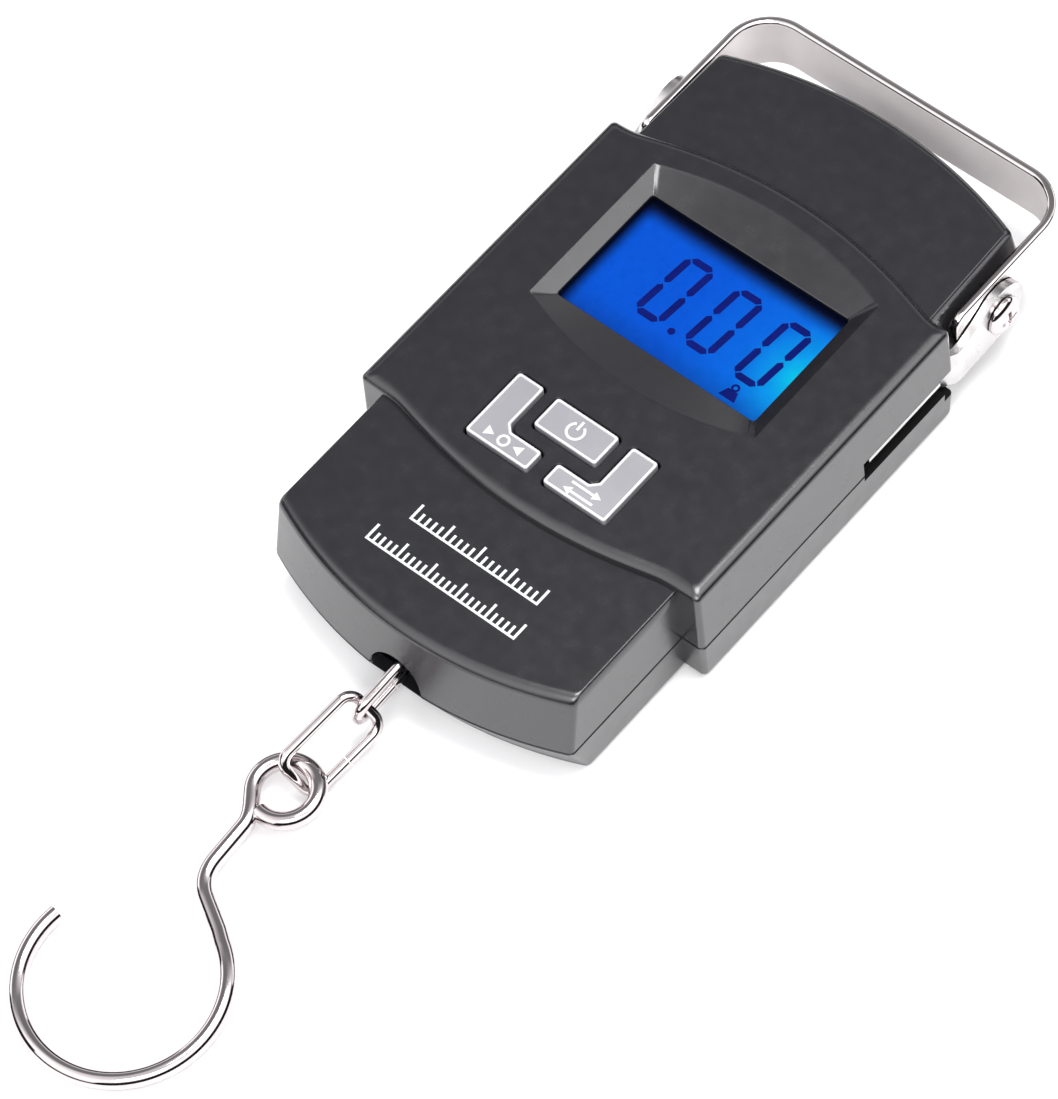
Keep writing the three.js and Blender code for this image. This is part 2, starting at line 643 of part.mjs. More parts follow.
const hookPath = path(
  new Arc3(eyeCentre, right, up, HOOK_EYE, -103 * degrees, ringLeave),
  new THREE.CubicBezierCurve3(
    eyeEnd,
    eyeEnd.clone().addScaledVector(eyeTangent, 1.7),
    stemTop.clone().addScaledVector(down, -1.7),
    stemTop,
  ),
  new THREE.LineCurve3(stemTop, stemLow),
  new THREE.CubicBezierCurve3(
    stemLow,
    stemLow.clone().addScaledVector(down, 2.6),
    neckLow.clone().addScaledVector(neckTangent, -2.4),
    neckLow,
  ),
  new THREE.LineCurve3(neckLow, bendStart),
  new Arc3(bendCentre, right, up, HOOK_C, neckEnd, -191.3 * degrees),
);
add('hook', wire(hookPath, HOOK_R, 120, 6), chrome);

// ---------------------------------------------------------------- batteries and contacts
// The two cells lie head to tail, each with its flat end on a conical spring.
const PLATE = { inner: 23.7, outer: 24, low: 17.6, high: 38.2 };
AAA_Y.forEach((y, i) => {
  const head = i === 0 ? 1 : -1;
  const profile = [
    new THREE.Vector2(0, 0),
    new THREE.Vector2(AAA.r - 0.5, 0),
    new THREE.Vector2(AAA.r, 0.5),
    new THREE.Vector2(AAA.r, AAA.length - 0.5),
    new THREE.Vector2(AAA.r - 0.5, AAA.length),
    new THREE.Vector2(1.9, AAA.length),
    new THREE.Vector2(1.9, AAA.length + AAA.nub),
    new THREE.Vector2(0, AAA.length + AAA.nub),
  ];
  const flatEnd = AAA.end - AAA.nub - AAA.length;
  const body = new THREE.LatheGeometry(profile, 24);
  body.rotateZ(-Math.PI / 2);
  body.translate(flatEnd, 0, 0);
  if (head < 0) {
    body.rotateZ(Math.PI);
  }
  body.translate(0, y, AAA_Z);
  add(`battery_${i + 1}`, toSolid(body), cellJacket);

  const start = Math.abs(flatEnd) + 0.5;
  const reach = PLATE.inner - GAP - start;
  const coil = new THREE.Curve();
  coil.getPoint = (t, target = new THREE.Vector3()) => {
    const angle = t * 2.6 * 2 * Math.PI;
    const radius = 2 + 1.6 * t;
    const x = -head * (start + reach * t);
    return target.set(x, y + radius * Math.cos(angle), AAA_Z + radius * Math.sin(angle));
  };
  add(`contact_spring_${i + 1}`, wire(coil, 0.25, 44, 3), springSteel);
});
add('contact_plate_left', box(-PLATE.outer, -PLATE.inner, PLATE.low, PLATE.high, 3.3, 12.4), springSteel);
add('contact_plate_right', box(PLATE.inner, PLATE.outer, PLATE.low, PLATE.high, 3.3, 12.4), springSteel);

export default part;
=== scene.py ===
import json
import math

import bmesh
import bpy
from mathutils import Matrix, Vector


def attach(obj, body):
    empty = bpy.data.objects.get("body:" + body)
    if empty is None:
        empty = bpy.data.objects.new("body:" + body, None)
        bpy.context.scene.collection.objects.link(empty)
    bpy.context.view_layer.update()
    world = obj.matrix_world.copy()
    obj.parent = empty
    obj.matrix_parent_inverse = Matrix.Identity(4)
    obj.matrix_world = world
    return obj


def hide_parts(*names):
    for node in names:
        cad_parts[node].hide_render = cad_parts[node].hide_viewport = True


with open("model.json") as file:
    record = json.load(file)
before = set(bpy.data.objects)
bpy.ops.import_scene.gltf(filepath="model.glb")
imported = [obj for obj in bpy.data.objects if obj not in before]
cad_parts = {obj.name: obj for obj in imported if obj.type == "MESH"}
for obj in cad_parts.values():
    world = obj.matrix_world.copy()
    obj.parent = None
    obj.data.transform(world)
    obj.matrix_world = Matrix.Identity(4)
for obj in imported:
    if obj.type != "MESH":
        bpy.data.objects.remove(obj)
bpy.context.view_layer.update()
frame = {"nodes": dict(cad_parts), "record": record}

scene = bpy.context.scene
MM = 0.001

# ---- sizes shared with the CAD
PART_Z, NARROW_Z, WIDE_Z = 8.5, 19.4, 21.0
WALL, GAP = 1.8, 0.3
NARROW_HALF, UPPER_TAPER = 26.8, 0.5
LOW_CORNER_Y, LOW_SAG = -51.5, 5.7
HIGH_CORNER_Y, HIGH_SAG = 48.0, 4.9
WIDE_HALF, WIDE_LOW_Y, WIDE_HIGH_Y = 30.4, -28.2, 27.0
WIDE_LOW_SAG, WIDE_HIGH_SAG = 3.5, 4.9
LCD_X, LCD_LOW, LCD_HIGH = 17.6, -0.6, 20.4
BEZEL = dict(left=-20.3, right=20.0, low=-3.2, high=24.1, low_sag=4.1, high_sag=3.8)
BEZEL_DEPTH = 1.2
PIVOT_Y, PIVOT_Z = 38.2, 11.4
ARM_OUT, ARM_THICK = 28.8, 1.2
STRAP = dict(inner=27.2, thick=1.4, z0=7.3, z1=17.2, bar=57.7, tail=30.0, bend=7.5)
LINK_R, HOOK_R = 0.8, 1.32
HOOK_C, HOOK_EYE, HOOK_REACH = 14.25, 4.6, 34.5
DOOR = dict(x=23.4, low=14.6, high=40.2)
SCREWS = [(-21.2, -43.0), (21.2, -43.0), (-12.0, 43.6), (12.0, 43.6)]
POST_RADIUS, BORE_RADIUS, HEAD_RADIUS = 3.2, 1.5, 2.5
RIBS = [(25.6, 12.6, 13.8), (24.6, 40.9, 42.1)]    # half length, y from, y to
KEY_STEMS = {"button_left": (-8.2, -23.6), "button_centre": (0, -17.2),
             "button_right": (8.2, -23.6)}

# ---- sizes of the looks alone
NARROW_CORNER, WIDE_CORNER = 1.0, 0.8
WIDE_LOW_BOW, WIDE_HIGH_BOW = 23.6, 26.4    # half widths of the bows in the wide ends
NARROW_FILLET, WIDE_FILLET, REAR_FILLET = 1.7, 1.15, 1.5    # heights of the edge fillets
# how far in a wall leans where its fillet starts, and how much more the fillet adds;
# the narrow body has one value for its sides and one for its ends
NARROW_LEAN, NARROW_ROLL = (0.22, 1.9), (0.6, 1.8)
WIDE_LEAN, WIDE_ROLL = 0.25, 1.85
REAR_NARROW_LEAN, REAR_NARROW_ROLL = (0.3, 2.9), (1.2, 1.7)
REAR_WIDE_LEAN, REAR_WIDE_ROLL = 0.3, 1.1
CAVITY = (-28.7, 28.7, WIDE_LOW_Y + 1.5, WIDE_HIGH_Y - 1.7)    # x from, to, y from, to
CUT_FLOOR = 16.5    # where the cuts for display and keys end, inside the cavity
SEAM_INSET = 0.55
KEY_GAP, KEY_CHAMFER = 0.35, 0.15
REAR_TOP = PART_Z - 0.12
# 0.2 more radius than in CAD, so that the upper link stays clear of it all through chain_pitch
END_HOLE = dict(axis="y", radius=4.5, start=-62, end=-48, a=0, b=PART_Z, count=64)
END_FLARE = dict(axis="y", radius=5.2, start=-58.0, end=-56.6, a=0, b=PART_Z, count=64,
                 end_radius=4.45)
SLOT_END = WIDE_HIGH_Y + 3
ARM_CUTS = {    # x from, x to, y from, y to, z from, z to, on the right-hand side
    "slot": (27.0, 32.0, 7.0, SLOT_END, 7.2, 11.5),
    "channel": (27.0, 28.8, 7.0, SLOT_END, 5.5, 11.5),
    "notch": (28.7, 32.0, 24.9, SLOT_END, 5.5, 11.5),
    "mouth": (27.0, 29.3, WIDE_HIGH_Y - 1.9, SLOT_END, 5.5, 13.3),
}
ARM_BEAD = (28.3, 30.1, 8.5, 24.3, 10.0, 10.8)    # the bright raised edge seen in the slot
# where faces of the case get the painted recess shade: lowest and highest (|x|, y, z)
SLOT_REGION = ((26.9, 6.9, 5.4), (30.3, 29.0, 13.4))
POCKET_REGION = ((-1.0, -27.0, 12.0), (18.0, 21.0, WIDE_Z - 0.1))
INNER_REGION = ((-1.0, -49.0, 2.2), (26.0, 46.0, 19.0))
KEY_RADIUS, KEY_FOOT, KEY_PROUD = 0.5, 18.95, 0.5
# (depth below the rim's top, inset, corner radius lost): up the side, over the rim, to the face
KEY_PROFILE = [(0.22, 0.0, 0.0), (0.06, 0.07, 0.05), (0.0, 0.2, 0.12), (0.0, 0.36, 0.2),
               (0.05, 0.42, 0.22), (0.13, 0.46, 0.24), (0.13, 0.6, 0.3)]
SCREEN_Z = 17.9
DIGIT = dict(width=5.1, height=12.15, slant=0.078, pen=1.12, gap=0.16)
DIGIT_CORNERS = [(-8.72, 4.5), (0.12, 4.45), (8.9, 4.35)]
POINT_RADIUS, POINT_AT = 0.58, (-1.72, 4.95)
# bottom and top of the thin raised marks
DIGIT_HEIGHTS = (SCREEN_Z + 0.01, SCREEN_Z + 0.06)
SYMBOL_HEIGHTS = (WIDE_Z + 0.3, WIDE_Z + 0.46)
TICK_HEIGHTS = (NARROW_Z + 0.002, NARROW_Z + 0.03)
UPPER_LINK = dict(half=2.6, corner=2.6, roll=math.radians(-102))
LOWER_LINK = dict(half=3.6, corner=2.0, roll=math.radians(-52))
TICK_ROWS = [(-39.5, -9.8, 12.6, 21), (-45.5, -12.6, 13.6, 26)]    # y, x from, x to, ticks
TICK = dict(half=0.2, line=0.35, drop=1.1, long=2.5, short=1.45, every=5)


# ---- small geometry kit
def arc_bow(x0, x1, y, sag, steps):
    """Points of a circular bow from x0 to x1 that rises by sag at the middle."""
    half = abs(x1 - x0) / 2
    radius = (half * half + sag * sag) / (2 * abs(sag))
    mid = (x0 + x1) / 2
    out = []
    for i in range(steps + 1):
        x = x0 + (x1 - x0) * i / steps
        rise = math.sqrt(radius * radius - (x - mid) ** 2) - (radius - abs(sag))
        out.append((x, y + math.copysign(rise, sag)))
    return out


def turn_angle(a, p, b):
    """Angle turned at p on the way from a to b, with both unit directions."""
    u = Vector((p[0] - a[0], p[1] - a[1])).normalized()
    v = Vector((b[0] - p[0], b[1] - p[1])).normalized()
    return math.acos(max(-1.0, min(1.0, u.dot(v)))), u, v


def rounded(points, radius, steps=5, least=math.radians(24)):
    """The outline with each real corner replaced by an arc of the given radius."""
    out = []
    n = len(points)
    for i, p in enumerate(points):
        a, b = points[i - 1], points[(i + 1) % n]
        angle, u, v = turn_angle(a, p, b)
        if angle < least:
            out.append(p)
            continue
        reach = radius * math.tan(angle / 2)
        start = Vector(p) - u * reach
        end = Vector(p) + v * reach
        corner = Vector(p)
        for k in range(steps + 1):
            t = k / steps
            # quadratic blend weighted so that its middle lies on the circle
            w = math.cos(angle / 2)
            d = (1 - t) ** 2 + 2 * w * t * (1 - t) + t * t
            q = (start * (1 - t) ** 2 + corner * (2 * w * t * (1 - t)) + end * t * t) / d
            out.append((q.x, q.y))
    return out


def grown(points, by):
    """A straight-sided anticlockwise outline made wider by `by`."""
    out = []
    n = len(points)
    for i, p in enumerate(points):
        _, u, v = turn_angle(points[i - 1], p, points[(i + 1) % n])
        scale = by / (1 + u.dot(v))
        out.append((p[0] + (u.y + v.y) * scale, p[1] - (u.x + v.x) * scale))
    return out


def narrow_outline(sides, ends):
    """Outline of the narrow body, pulled in by `sides` in X and by `ends` in Y."""
    low = NARROW_HALF - sides
    high = low - UPPER_TAPER
    pts = arc_bow(-low, low, LOW_CORNER_Y + ends, -LOW_SAG, 56)
    pts.append((low, WIDE_HIGH_Y))
    pts += arc_bow(high, -high, HIGH_CORNER_Y - ends, HIGH_SAG, 56)
    pts.append((-low, WIDE_HIGH_Y))
    return rounded(pts, NARROW_CORNER)


def soft_bulge(x, half, sag, blend=0.3):
    """A bow over |x| < half that runs smoothly into the straight shoulder beside it."""
    h = sag * (1 - (x / half) ** 2)
    return (h + math.sqrt(h * h + blend)) / 2


def wide_outline(inset):
    """Outline of the wide middle, pulled in by `inset` all round."""
    half = WIDE_HALF - inset
    low, high = WIDE_LOW_Y + inset, WIDE_HIGH_Y - inset
    steps = 80
    pts = []
    for i in range(steps + 1):
        x = -half + 2 * half * i / steps
        pts.append((x, low - soft_bulge(x, WIDE_LOW_BOW, WIDE_LOW_SAG)))
    for i in range(steps + 1):
        x = half - 2 * half * i / steps
        pts.append((x, high + soft_bulge(x, WIDE_HIGH_BOW, WIDE_HIGH_SAG)))
    return rounded(pts, WIDE_CORNER)


def bowed_box(left, right, low, high, low_sag, high_sag, steps=40):
    """A box whose lower and upper sides bow outwards."""
    lower, upper = [], []
    for i in range(steps + 1):
        t = 2 * i / steps - 1
        x = (left + right) / 2 + t * (right - left) / 2
        lower.append((x, low - low_sag * (1 - t * t)))
        upper.append((x, high + high_sag * (1 - t * t)))
    return lower + upper[::-1]


def rectangle(x0, x1, y0, y1):
    return [(x0, y0), (x1, y0), (x1, y1), (x0, y1)]


def new_object(name, data):
    obj = bpy.data.objects.new(name, data)
    scene.collection.objects.link(obj)
    return obj


def mesh_object(name, verts, faces, smooth=30):
    mesh = bpy.data.meshes.new(name)
    mesh.from_pydata([Vector(v) * MM for v in verts], [], faces)
    bm = bmesh.new()
    bm.from_mesh(mesh)
    bmesh.ops.recalc_face_normals(bm, faces=bm.faces)
    bm.to_mesh(mesh)
    bm.free()
    obj = new_object(name, mesh)
    shade(obj, smooth)
    return obj


def shade(obj, angle):
    """Smooth shading, with sharp edges where faces meet at more than `angle` degrees."""
    obj.data.shade_smooth()
    obj.data.set_sharp_from_angle(angle=math.radians(angle))


def steady(obj):
    """Lets large flat faces keep their own normals beside small fillets."""
    mod = obj.modifiers.new("steady", "WEIGHTED_NORMAL")
    mod.mode = "FACE_AREA"
    mod.keep_sharp = True


def skin(rows, n):
    """Faces of a closed skin over rows of n points."""
    faces = []
    for k in range(rows - 1):
        for i in range(n):
            a, b = k * n + i, k * n + (i + 1) % n
            faces.append((a, b, b + n, a + n))
    return faces + [tuple(reversed(range(n))), tuple(range((rows - 1) * n, rows * n))]


def loft(name, levels, smooth=30):
    """A solid through outlines of equal point count: [(z, outline), ...]."""
    verts = [(x, y, z) for z, pts in levels for x, y in pts]
    return mesh_object(name, verts, skin(len(levels), len(levels[0][1])), smooth)


def block(name, x0, x1, y0, y1, z0, z1):
    return loft(name, [(z0, rectangle(x0, x1, y0, y1)), (z1, rectangle(x0, x1, y0, y1))])


def side_block(name, side, x0, x1, *rest):
    """A block on the right-hand side, or its mirror image when side is -1."""
    return block(name, *sorted((side * x0, side * x1)), *rest)


def ring_points(radius, count, centre=(0.0, 0.0)):
    return [(centre[0] + radius * math.cos(2 * math.pi * i / count),
             centre[1] + radius * math.sin(2 * math.pi * i / count)) for i in range(count)]


X_UP = Matrix(((0, 0, 1), (1, 0, 0), (0, 1, 0)))    # turns a shape raised along Z to lie along X
AXIS_TURNS = {"x": X_UP, "y": Matrix(((0, 1, 0), (0, 0, 1), (1, 0, 0))), "z": Matrix.Identity(3)}


def rod(name, axis, radius, start, end, a, b, count=40, end_radius=None):
    """A cylinder or cone along an axis, placed at (a, b) in the two other coordinates."""
    obj = loft(name, [(start, ring_points(radius, count)),
                      (end, ring_points(end_radius or radius, count))])
    turn = AXIS_TURNS[axis]
    shift = {"x": (0, a, b), "y": (a, 0, b), "z": (a, b, 0)}[axis]
    obj.data.transform(Matrix.Translation(Vector(shift) * MM) @ turn.to_4x4())
    return obj


def settle(obj):
    """Bakes the object's modifiers into its mesh."""
    deps = bpy.context.evaluated_depsgraph_get()
    mesh = bpy.data.meshes.new_from_object(obj.evaluated_get(deps))
    obj.modifiers.clear()
    old = obj.data
    obj.data = mesh
    bpy.data.meshes.remove(old)


def combine(target, tool, operation="DIFFERENCE"):
    """Cuts the tool out of the target, or joins it on, and uses the tool up."""
    mod = target.modifiers.new("combine", "BOOLEAN")
    mod.operation = operation
    mod.solver = "EXACT"
    mod.object = tool
    settle(target)
    bpy.data.objects.remove(tool, do_unlink=True)


def soften(obj, width, angle=35):
    """Breaks the sharp edges with a small bevel."""
    mod = obj.modifiers.new("soften", "BEVEL")
    mod.width = width * MM
    mod.segments = 2
    mod.limit_method = "ANGLE"
    mod.angle_limit = math.radians(angle)
    mod.use_clamp_overlap = True


def lathe(name, profile, count=64, smooth=32):
    """Turned solid about Z from (radius, z) points that start and end on the axis."""
    verts, faces, rows = [], [], []
    for r, z in profile:
        if r == 0:
            rows.append([len(verts)])
            verts.append((0.0, 0.0, z))
        else:
            rows.append(list(range(len(verts), len(verts) + count)))
            verts += [(x, y, z) for x, y in ring_points(r, count)]
    for lower, upper in zip(rows, rows[1:]):
        for i in range(count):
            j = (i + 1) % count
            quad = [lower[i % len(lower)], lower[j % len(lower)],
                    upper[j % len(upper)], upper[i % len(upper)]]
            face = list(dict.fromkeys(quad))
            if len(face) > 2:
                faces.append(tuple(face))
    return mesh_object(name, verts, faces, smooth)


# ---- materials
def new_material(name):
    mat = bpy.data.materials.new(name)
    mat.use_nodes = True
    return mat, mat.node_tree, mat.node_tree.nodes["Principled BSDF"]


def noise(tree, scale, detail=3.0, stretch=None):
    """Noise over the object's own coordinates, with the scale in features per metre."""
    coords = tree.nodes.new("ShaderNodeTexCoord")
    source = coords.outputs["Object"]
    if stretch:
        mapping = tree.nodes.new("ShaderNodeMapping")
        mapping.inputs["Scale"].default_value = stretch
        tree.links.new(source, mapping.inputs["Vector"])
        source = mapping.outputs["Vector"]
    tex = tree.nodes.new("ShaderNodeTexNoise")
    tex.inputs["Scale"].default_value = scale
    tex.inputs["Detail"].default_value = detail
    tree.links.new(source, tex.inputs["Vector"])
    return tex.outputs["Fac"]


def ramp(tree, source, stops):
    """Colours by value, from a list of (value, colour)."""
    node = tree.nodes.new("ShaderNodeValToRGB")
    elements = node.color_ramp.elements
    while len(elements) < len(stops):
        elements.new(0.5)
    for element, (at, colour) in zip(elements, stops):
        element.position = at
        element.color = (*colour, 1.0)
    tree.links.new(source, node.inputs["Fac"])
    return node.outputs["Color"]


def map_range(tree, source, start, end, low=0.0, high=1.0, smooth=False):
    """The source's values from start to end, made to run from low to high."""
    node = tree.nodes.new("ShaderNodeMapRange")
    if smooth:
        node.interpolation_type = "SMOOTHSTEP"
    limits = {"From Min": start, "From Max": end, "To Min": low, "To Max": high}
    for name, value in limits.items():
        node.inputs[name].default_value = value
    tree.links.new(source, node.inputs["Value"])
    return node.outputs["Result"]


NOISE_LOW, NOISE_HIGH = 0.3, 0.7    # most of a noise texture's values lie between these


def spread(tree, source, low, high):
    return map_range(tree, source, NOISE_LOW, NOISE_HIGH, low, high)


def gloss(tree, shader, source, low, high):
    tree.links.new(spread(tree, source, low, high), shader.inputs["Roughness"])


def add_bump(tree, shader, height, distance, strength=0.3):
    bump = tree.nodes.new("ShaderNodeBump")
    bump.inputs["Strength"].default_value = strength
    bump.inputs["Distance"].default_value = distance * MM
    tree.links.new(height, bump.inputs["Height"])
    tree.links.new(bump.outputs["Normal"], shader.inputs["Normal"])


def moulded(name, dark, light, rough, grain=2600.0, depth=0.02, strength=0.35, ior=1.5):
    """Moulded plastic or paint: eroded grain, faint cloudiness and uneven gloss."""
    mat, tree, shader = new_material(name)
    cloud = noise(tree, 45.0, 5.0)
    fine = noise(tree, grain, 2.0)
    colour = ramp(tree, cloud, [(0.32, dark), (NOISE_HIGH, light)])
    tree.links.new(colour, shader.inputs["Base Color"])
    gloss(tree, shader, noise(tree, 420.0, 6.0), *rough)
    shader.inputs["IOR"].default_value = ior
    add_bump(tree, shader, fine, depth, strength)
    return mat


def metal(name, dark, light, rough, stretch=(1.0, 1.0, 1.0), grain=900.0, depth=0.004,
          strength=0.25):
    """Metal with drawn or polished grain and patchy gloss."""
    mat, tree, shader = new_material(name)
    shader.inputs["Metallic"].default_value = 1.0
    tone = noise(tree, 120.0, 5.0)
    colour = ramp(tree, tone, [(NOISE_LOW, dark), (NOISE_HIGH, light)])
    tree.links.new(colour, shader.inputs["Base Color"])
    gloss(tree, shader, noise(tree, 300.0, 6.0, stretch), *rough)
    add_bump(tree, shader, noise(tree, grain, 4.0, stretch), depth, strength)
    return mat


charcoal = moulded("charcoal_plastic", (0.0076, 0.0076, 0.0100), (0.0086, 0.0086, 0.0112),
                   (0.23, 0.28), ior=1.75)
charcoal_rear = moulded("charcoal_rear_plastic", (0.0094, 0.0094, 0.0116), (0.0106, 0.0106, 0.0130),
                        (0.28, 0.34), ior=1.85)
# painted shade: a near-black, rough material for the deep slots, the pockets and the inside of the
# case
recess = moulded("painted_recess_shade", (0.0016, 0.0016, 0.002), (0.0022, 0.0022, 0.0026),
                 (0.55, 0.7), ior=1.25)
silver_key = moulded("silver_key_paint", (0.225, 0.222, 0.24), (0.27, 0.267, 0.285), (0.36, 0.5),
                     grain=1800.0, depth=0.03, strength=0.5)
silver_rim = moulded("silver_key_rim", (0.52, 0.52, 0.53), (0.6, 0.6, 0.61), (0.28, 0.4),
                     grain=1800.0, depth=0.02, strength=0.3)
white_print = moulded("white_print", (0.55, 0.57, 0.58), (0.62, 0.63, 0.64), (0.45, 0.6),
                      grain=3000.0)
white_diffuser = moulded("white_diffuser", (0.80, 0.82, 0.84), (0.9, 0.9, 0.92), (0.4, 0.5))
grey_rubber = moulded("grey_silicone", (0.22, 0.22, 0.23), (0.3, 0.3, 0.31), (0.6, 0.75),
                      grain=1500.0, depth=0.03)
black_epoxy = moulded("black_epoxy", (0.012, 0.012, 0.013), (0.02, 0.02, 0.022), (0.2, 0.4),
                      grain=500.0, depth=0.05)
gauge_film = moulded("gauge_film", (0.32, 0.34, 0.36), (0.45, 0.47, 0.5), (0.35, 0.5))
polished = metal("polished_nickel", (0.54, 0.495, 0.50), (0.64, 0.59, 0.595), (0.06, 0.11),
                 grain=700.0, depth=0.003, strength=0.1)
strap_metal = metal("polished_strap", (0.60, 0.56, 0.56), (0.68, 0.64, 0.64), (0.06, 0.12),
                    stretch=(1.0, 1.0, 9.0), grain=500.0, depth=0.003, strength=0.1)
# painted light: a near-white, part-diffuse copy of the strap metal for its inside faces, standing
# in for their reflection of the white surroundings
painted_light_strap = metal("strap_inside_painted_light", (0.93, 0.87, 0.87), (0.98, 0.93, 0.93), (0.44, 0.52),
              stretch=(1.0, 1.0, 9.0), grain=500.0, depth=0.003, strength=0.15)
painted_light_strap.node_tree.nodes["Principled BSDF"].inputs["Metallic"].default_value = 0.35
sheet_steel = metal("stamped_steel", (0.46, 0.45, 0.45), (0.62, 0.61, 0.61), (0.18, 0.34),
                    grain=400.0, depth=0.003, strength=0.1)
zinc = metal("zinc_plate", (0.48, 0.49, 0.51), (0.6, 0.61, 0.62), (0.25, 0.42))
milled = metal("milled_aluminium", (0.6, 0.6, 0.62), (0.72, 0.72, 0.74), (0.28, 0.45),
               stretch=(12.0, 1.0, 1.0), grain=900.0)
spring_steel = metal("spring_strip", (0.56, 0.54, 0.46), (0.68, 0.66, 0.56), (0.2, 0.35))


def object_axes(tree):
    """A node whose X, Y and Z outputs are the object's own coordinates."""
    coords = tree.nodes.new("ShaderNodeTexCoord")
    split = tree.nodes.new("ShaderNodeSeparateXYZ")
    tree.links.new(coords.outputs["Object"], split.inputs["Vector"])
    return split


def board_material():
    """Green board, with faint tracks along it."""
    mat, tree, shader = new_material("green_board")
    tracks = noise(tree, 900.0, 1.0, (1.0, 0.2, 1.0))
    colour = ramp(tree, tracks, [(0.46, (0.012, 0.085, 0.035)), (0.52, (0.03, 0.16, 0.07))])
    tree.links.new(colour, shader.inputs["Base Color"])
    gloss(tree, shader, tracks, 0.3, 0.42)
    add_bump(tree, shader, tracks, 0.03)
    return mat


def cell_material():
    """A printed jacket: green with a paler band, and no wording."""
    mat, tree, shader = new_material("cell_jacket")
    half_length = 24 * MM
    can, band = (0.5, 0.5, 0.5), (0.62, 0.62, 0.58)
    place = map_range(tree, object_axes(tree).outputs["X"], -half_length, half_length)
    colour = ramp(tree, place,
                  [(0.0, can), (0.05, (0.03, 0.16, 0.09)), (0.6, (0.04, 0.2, 0.11)),
                   (0.63, band), (0.9, band), (0.96, can)])
    tree.links.new(colour, shader.inputs["Base Color"])
    gloss(tree, shader, noise(tree, 200.0), 0.25, 0.4)
    add_bump(tree, shader, noise(tree, 700.0), 0.01)
    return mat


def window_material():
    """Clear cover, nearly invisible but for its gloss."""
    mat, tree, shader = new_material("clear_window")
    shader.inputs["Base Color"].default_value = (0.01, 0.012, 0.02, 1.0)
    shader.inputs["Alpha"].default_value = 0.05
    shader.inputs["IOR"].default_value = 1.49
    gloss(tree, shader, noise(tree, 300.0), 0.03, 0.08)
    return mat


def screen_material():
    """Backlit blue panel: brightest by the lamp at its right edge, with painted shadow of the
    opening's walls under its top and left edges.
    """
    mat, tree, shader = new_material("lit_blue_panel")
    split = object_axes(tree)

    def math_node(operation, a, b=None, clamp=False):
        node = tree.nodes.new("ShaderNodeMath")
        node.operation = operation
        node.use_clamp = clamp
        for socket, value in zip(node.inputs, (a, b)):
            if isinstance(value, (int, float)):
                socket.default_value = value
            elif value is not None:
                tree.links.new(value, socket)
        return node.outputs[0]

    def fade(axis, start, end, low=0.0):
        return map_range(tree, split.outputs[axis], start * MM, end * MM, low, 1.0, True)

    # distance from the lamp, set in the right edge a little below the middle
    lamp_x, lamp_y, reach, flatness = 17.2, 9.2, 38, 0.7
    dx = math_node("SUBTRACT", split.outputs["X"], lamp_x * MM)
    dy = math_node("SUBTRACT", split.outputs["Y"], lamp_y * MM)
    square = math_node("ADD", math_node("MULTIPLY", dx, dx),
                       math_node("MULTIPLY", math_node("MULTIPLY", dy, dy), flatness))
    distance = math_node("SQRT", square)
    place = math_node("DIVIDE", distance, reach * MM, clamp=True)
    colour = ramp(tree, place,
                  [(0.0, (0.0, 0.66, 0.9)), (0.09, (0.0, 0.36, 0.9)), (0.22, (0.0, 0.155, 0.82)),
                   (0.5, (0.0, 0.105, 0.76)), (1.0, (0.0, 0.10, 0.74))])
    # painted shadow: the glow fades under the top and left walls of the display opening
    shade_top = math_node("SUBTRACT", 1.0, fade("Y", LCD_HIGH - 3.4, LCD_HIGH - 0.2))
    shade_left = fade("X", -LCD_X - 0.6, -LCD_X + 1.9)
    shade_low = fade("Y", LCD_LOW - 0.5, LCD_LOW + 5.5, 0.62)
    level = math_node("MULTIPLY", math_node("MULTIPLY", shade_top, shade_left), shade_low)
    cells = noise(tree, 700.0, 2.0)
    level = math_node("MULTIPLY", level, spread(tree, cells, 0.96, 1.03))
    shader.inputs["Base Color"].default_value = (0.0002, 0.002, 0.015, 1.0)
    shader.inputs["Specular IOR Level"].default_value = 0.04
    gloss(tree, shader, cells, 0.25, 0.35)
    tree.links.new(colour, shader.inputs["Emission Color"])
    tree.links.new(level, shader.inputs["Emission Strength"])
    return mat


def digit_material():
    """The dark blue of a lit display's segments."""
    mat, tree, shader = new_material("dark_segment")
    tone = noise(tree, 260.0, 3.0)
    colour = ramp(tree, tone, [(NOISE_LOW, (0.0015, 0.007, 0.16)),
                               (NOISE_HIGH, (0.0022, 0.009, 0.21))])
    shader.inputs["Base Color"].default_value = (0.0005, 0.001, 0.01, 1.0)
    shader.inputs["Specular IOR Level"].default_value = 0.04
    tree.links.new(colour, shader.inputs["Emission Color"])
    shader.inputs["Emission Strength"].default_value = 1.0
    gloss(tree, shader, tone, 0.3, 0.45)
    return mat


materials = {
    "case_plastic": charcoal_rear, "window": window_material(), "lcd": screen_material(),
    "white_plastic": white_diffuser, "soft_rubber": grey_rubber, "board": board_material(),
    "epoxy": black_epoxy, "button_plastic": silver_key, "screw_zinc": zinc,
    "frame_steel": sheet_steel, "cell_aluminium": milled, "gauge_film": gauge_film,
    "polished_steel": polished, "spring_steel": spring_steel, "battery_can": cell_material(),
}
for entry in frame["record"]["subparts"]:
    node = frame["nodes"][entry["node"]]
    for material_slot in node.material_slots:
        material_slot.material = materials[entry["material_slot"]]


def finish_piece(obj, material, body, nodes=()):
    """Gives the piece its material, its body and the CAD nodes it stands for."""
    obj.data.materials.clear()
    obj.data.materials.append(material)
    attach(obj, body)
    if nodes:
        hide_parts(*nodes)
    return obj


# ---- case
def ease(count):
    """Quarter-round fillet as (inset, rise) fractions."""
    return [(1 - math.cos(math.pi / 2 * k / count), math.sin(math.pi / 2 * k / count))
            for k in range(count + 1)]


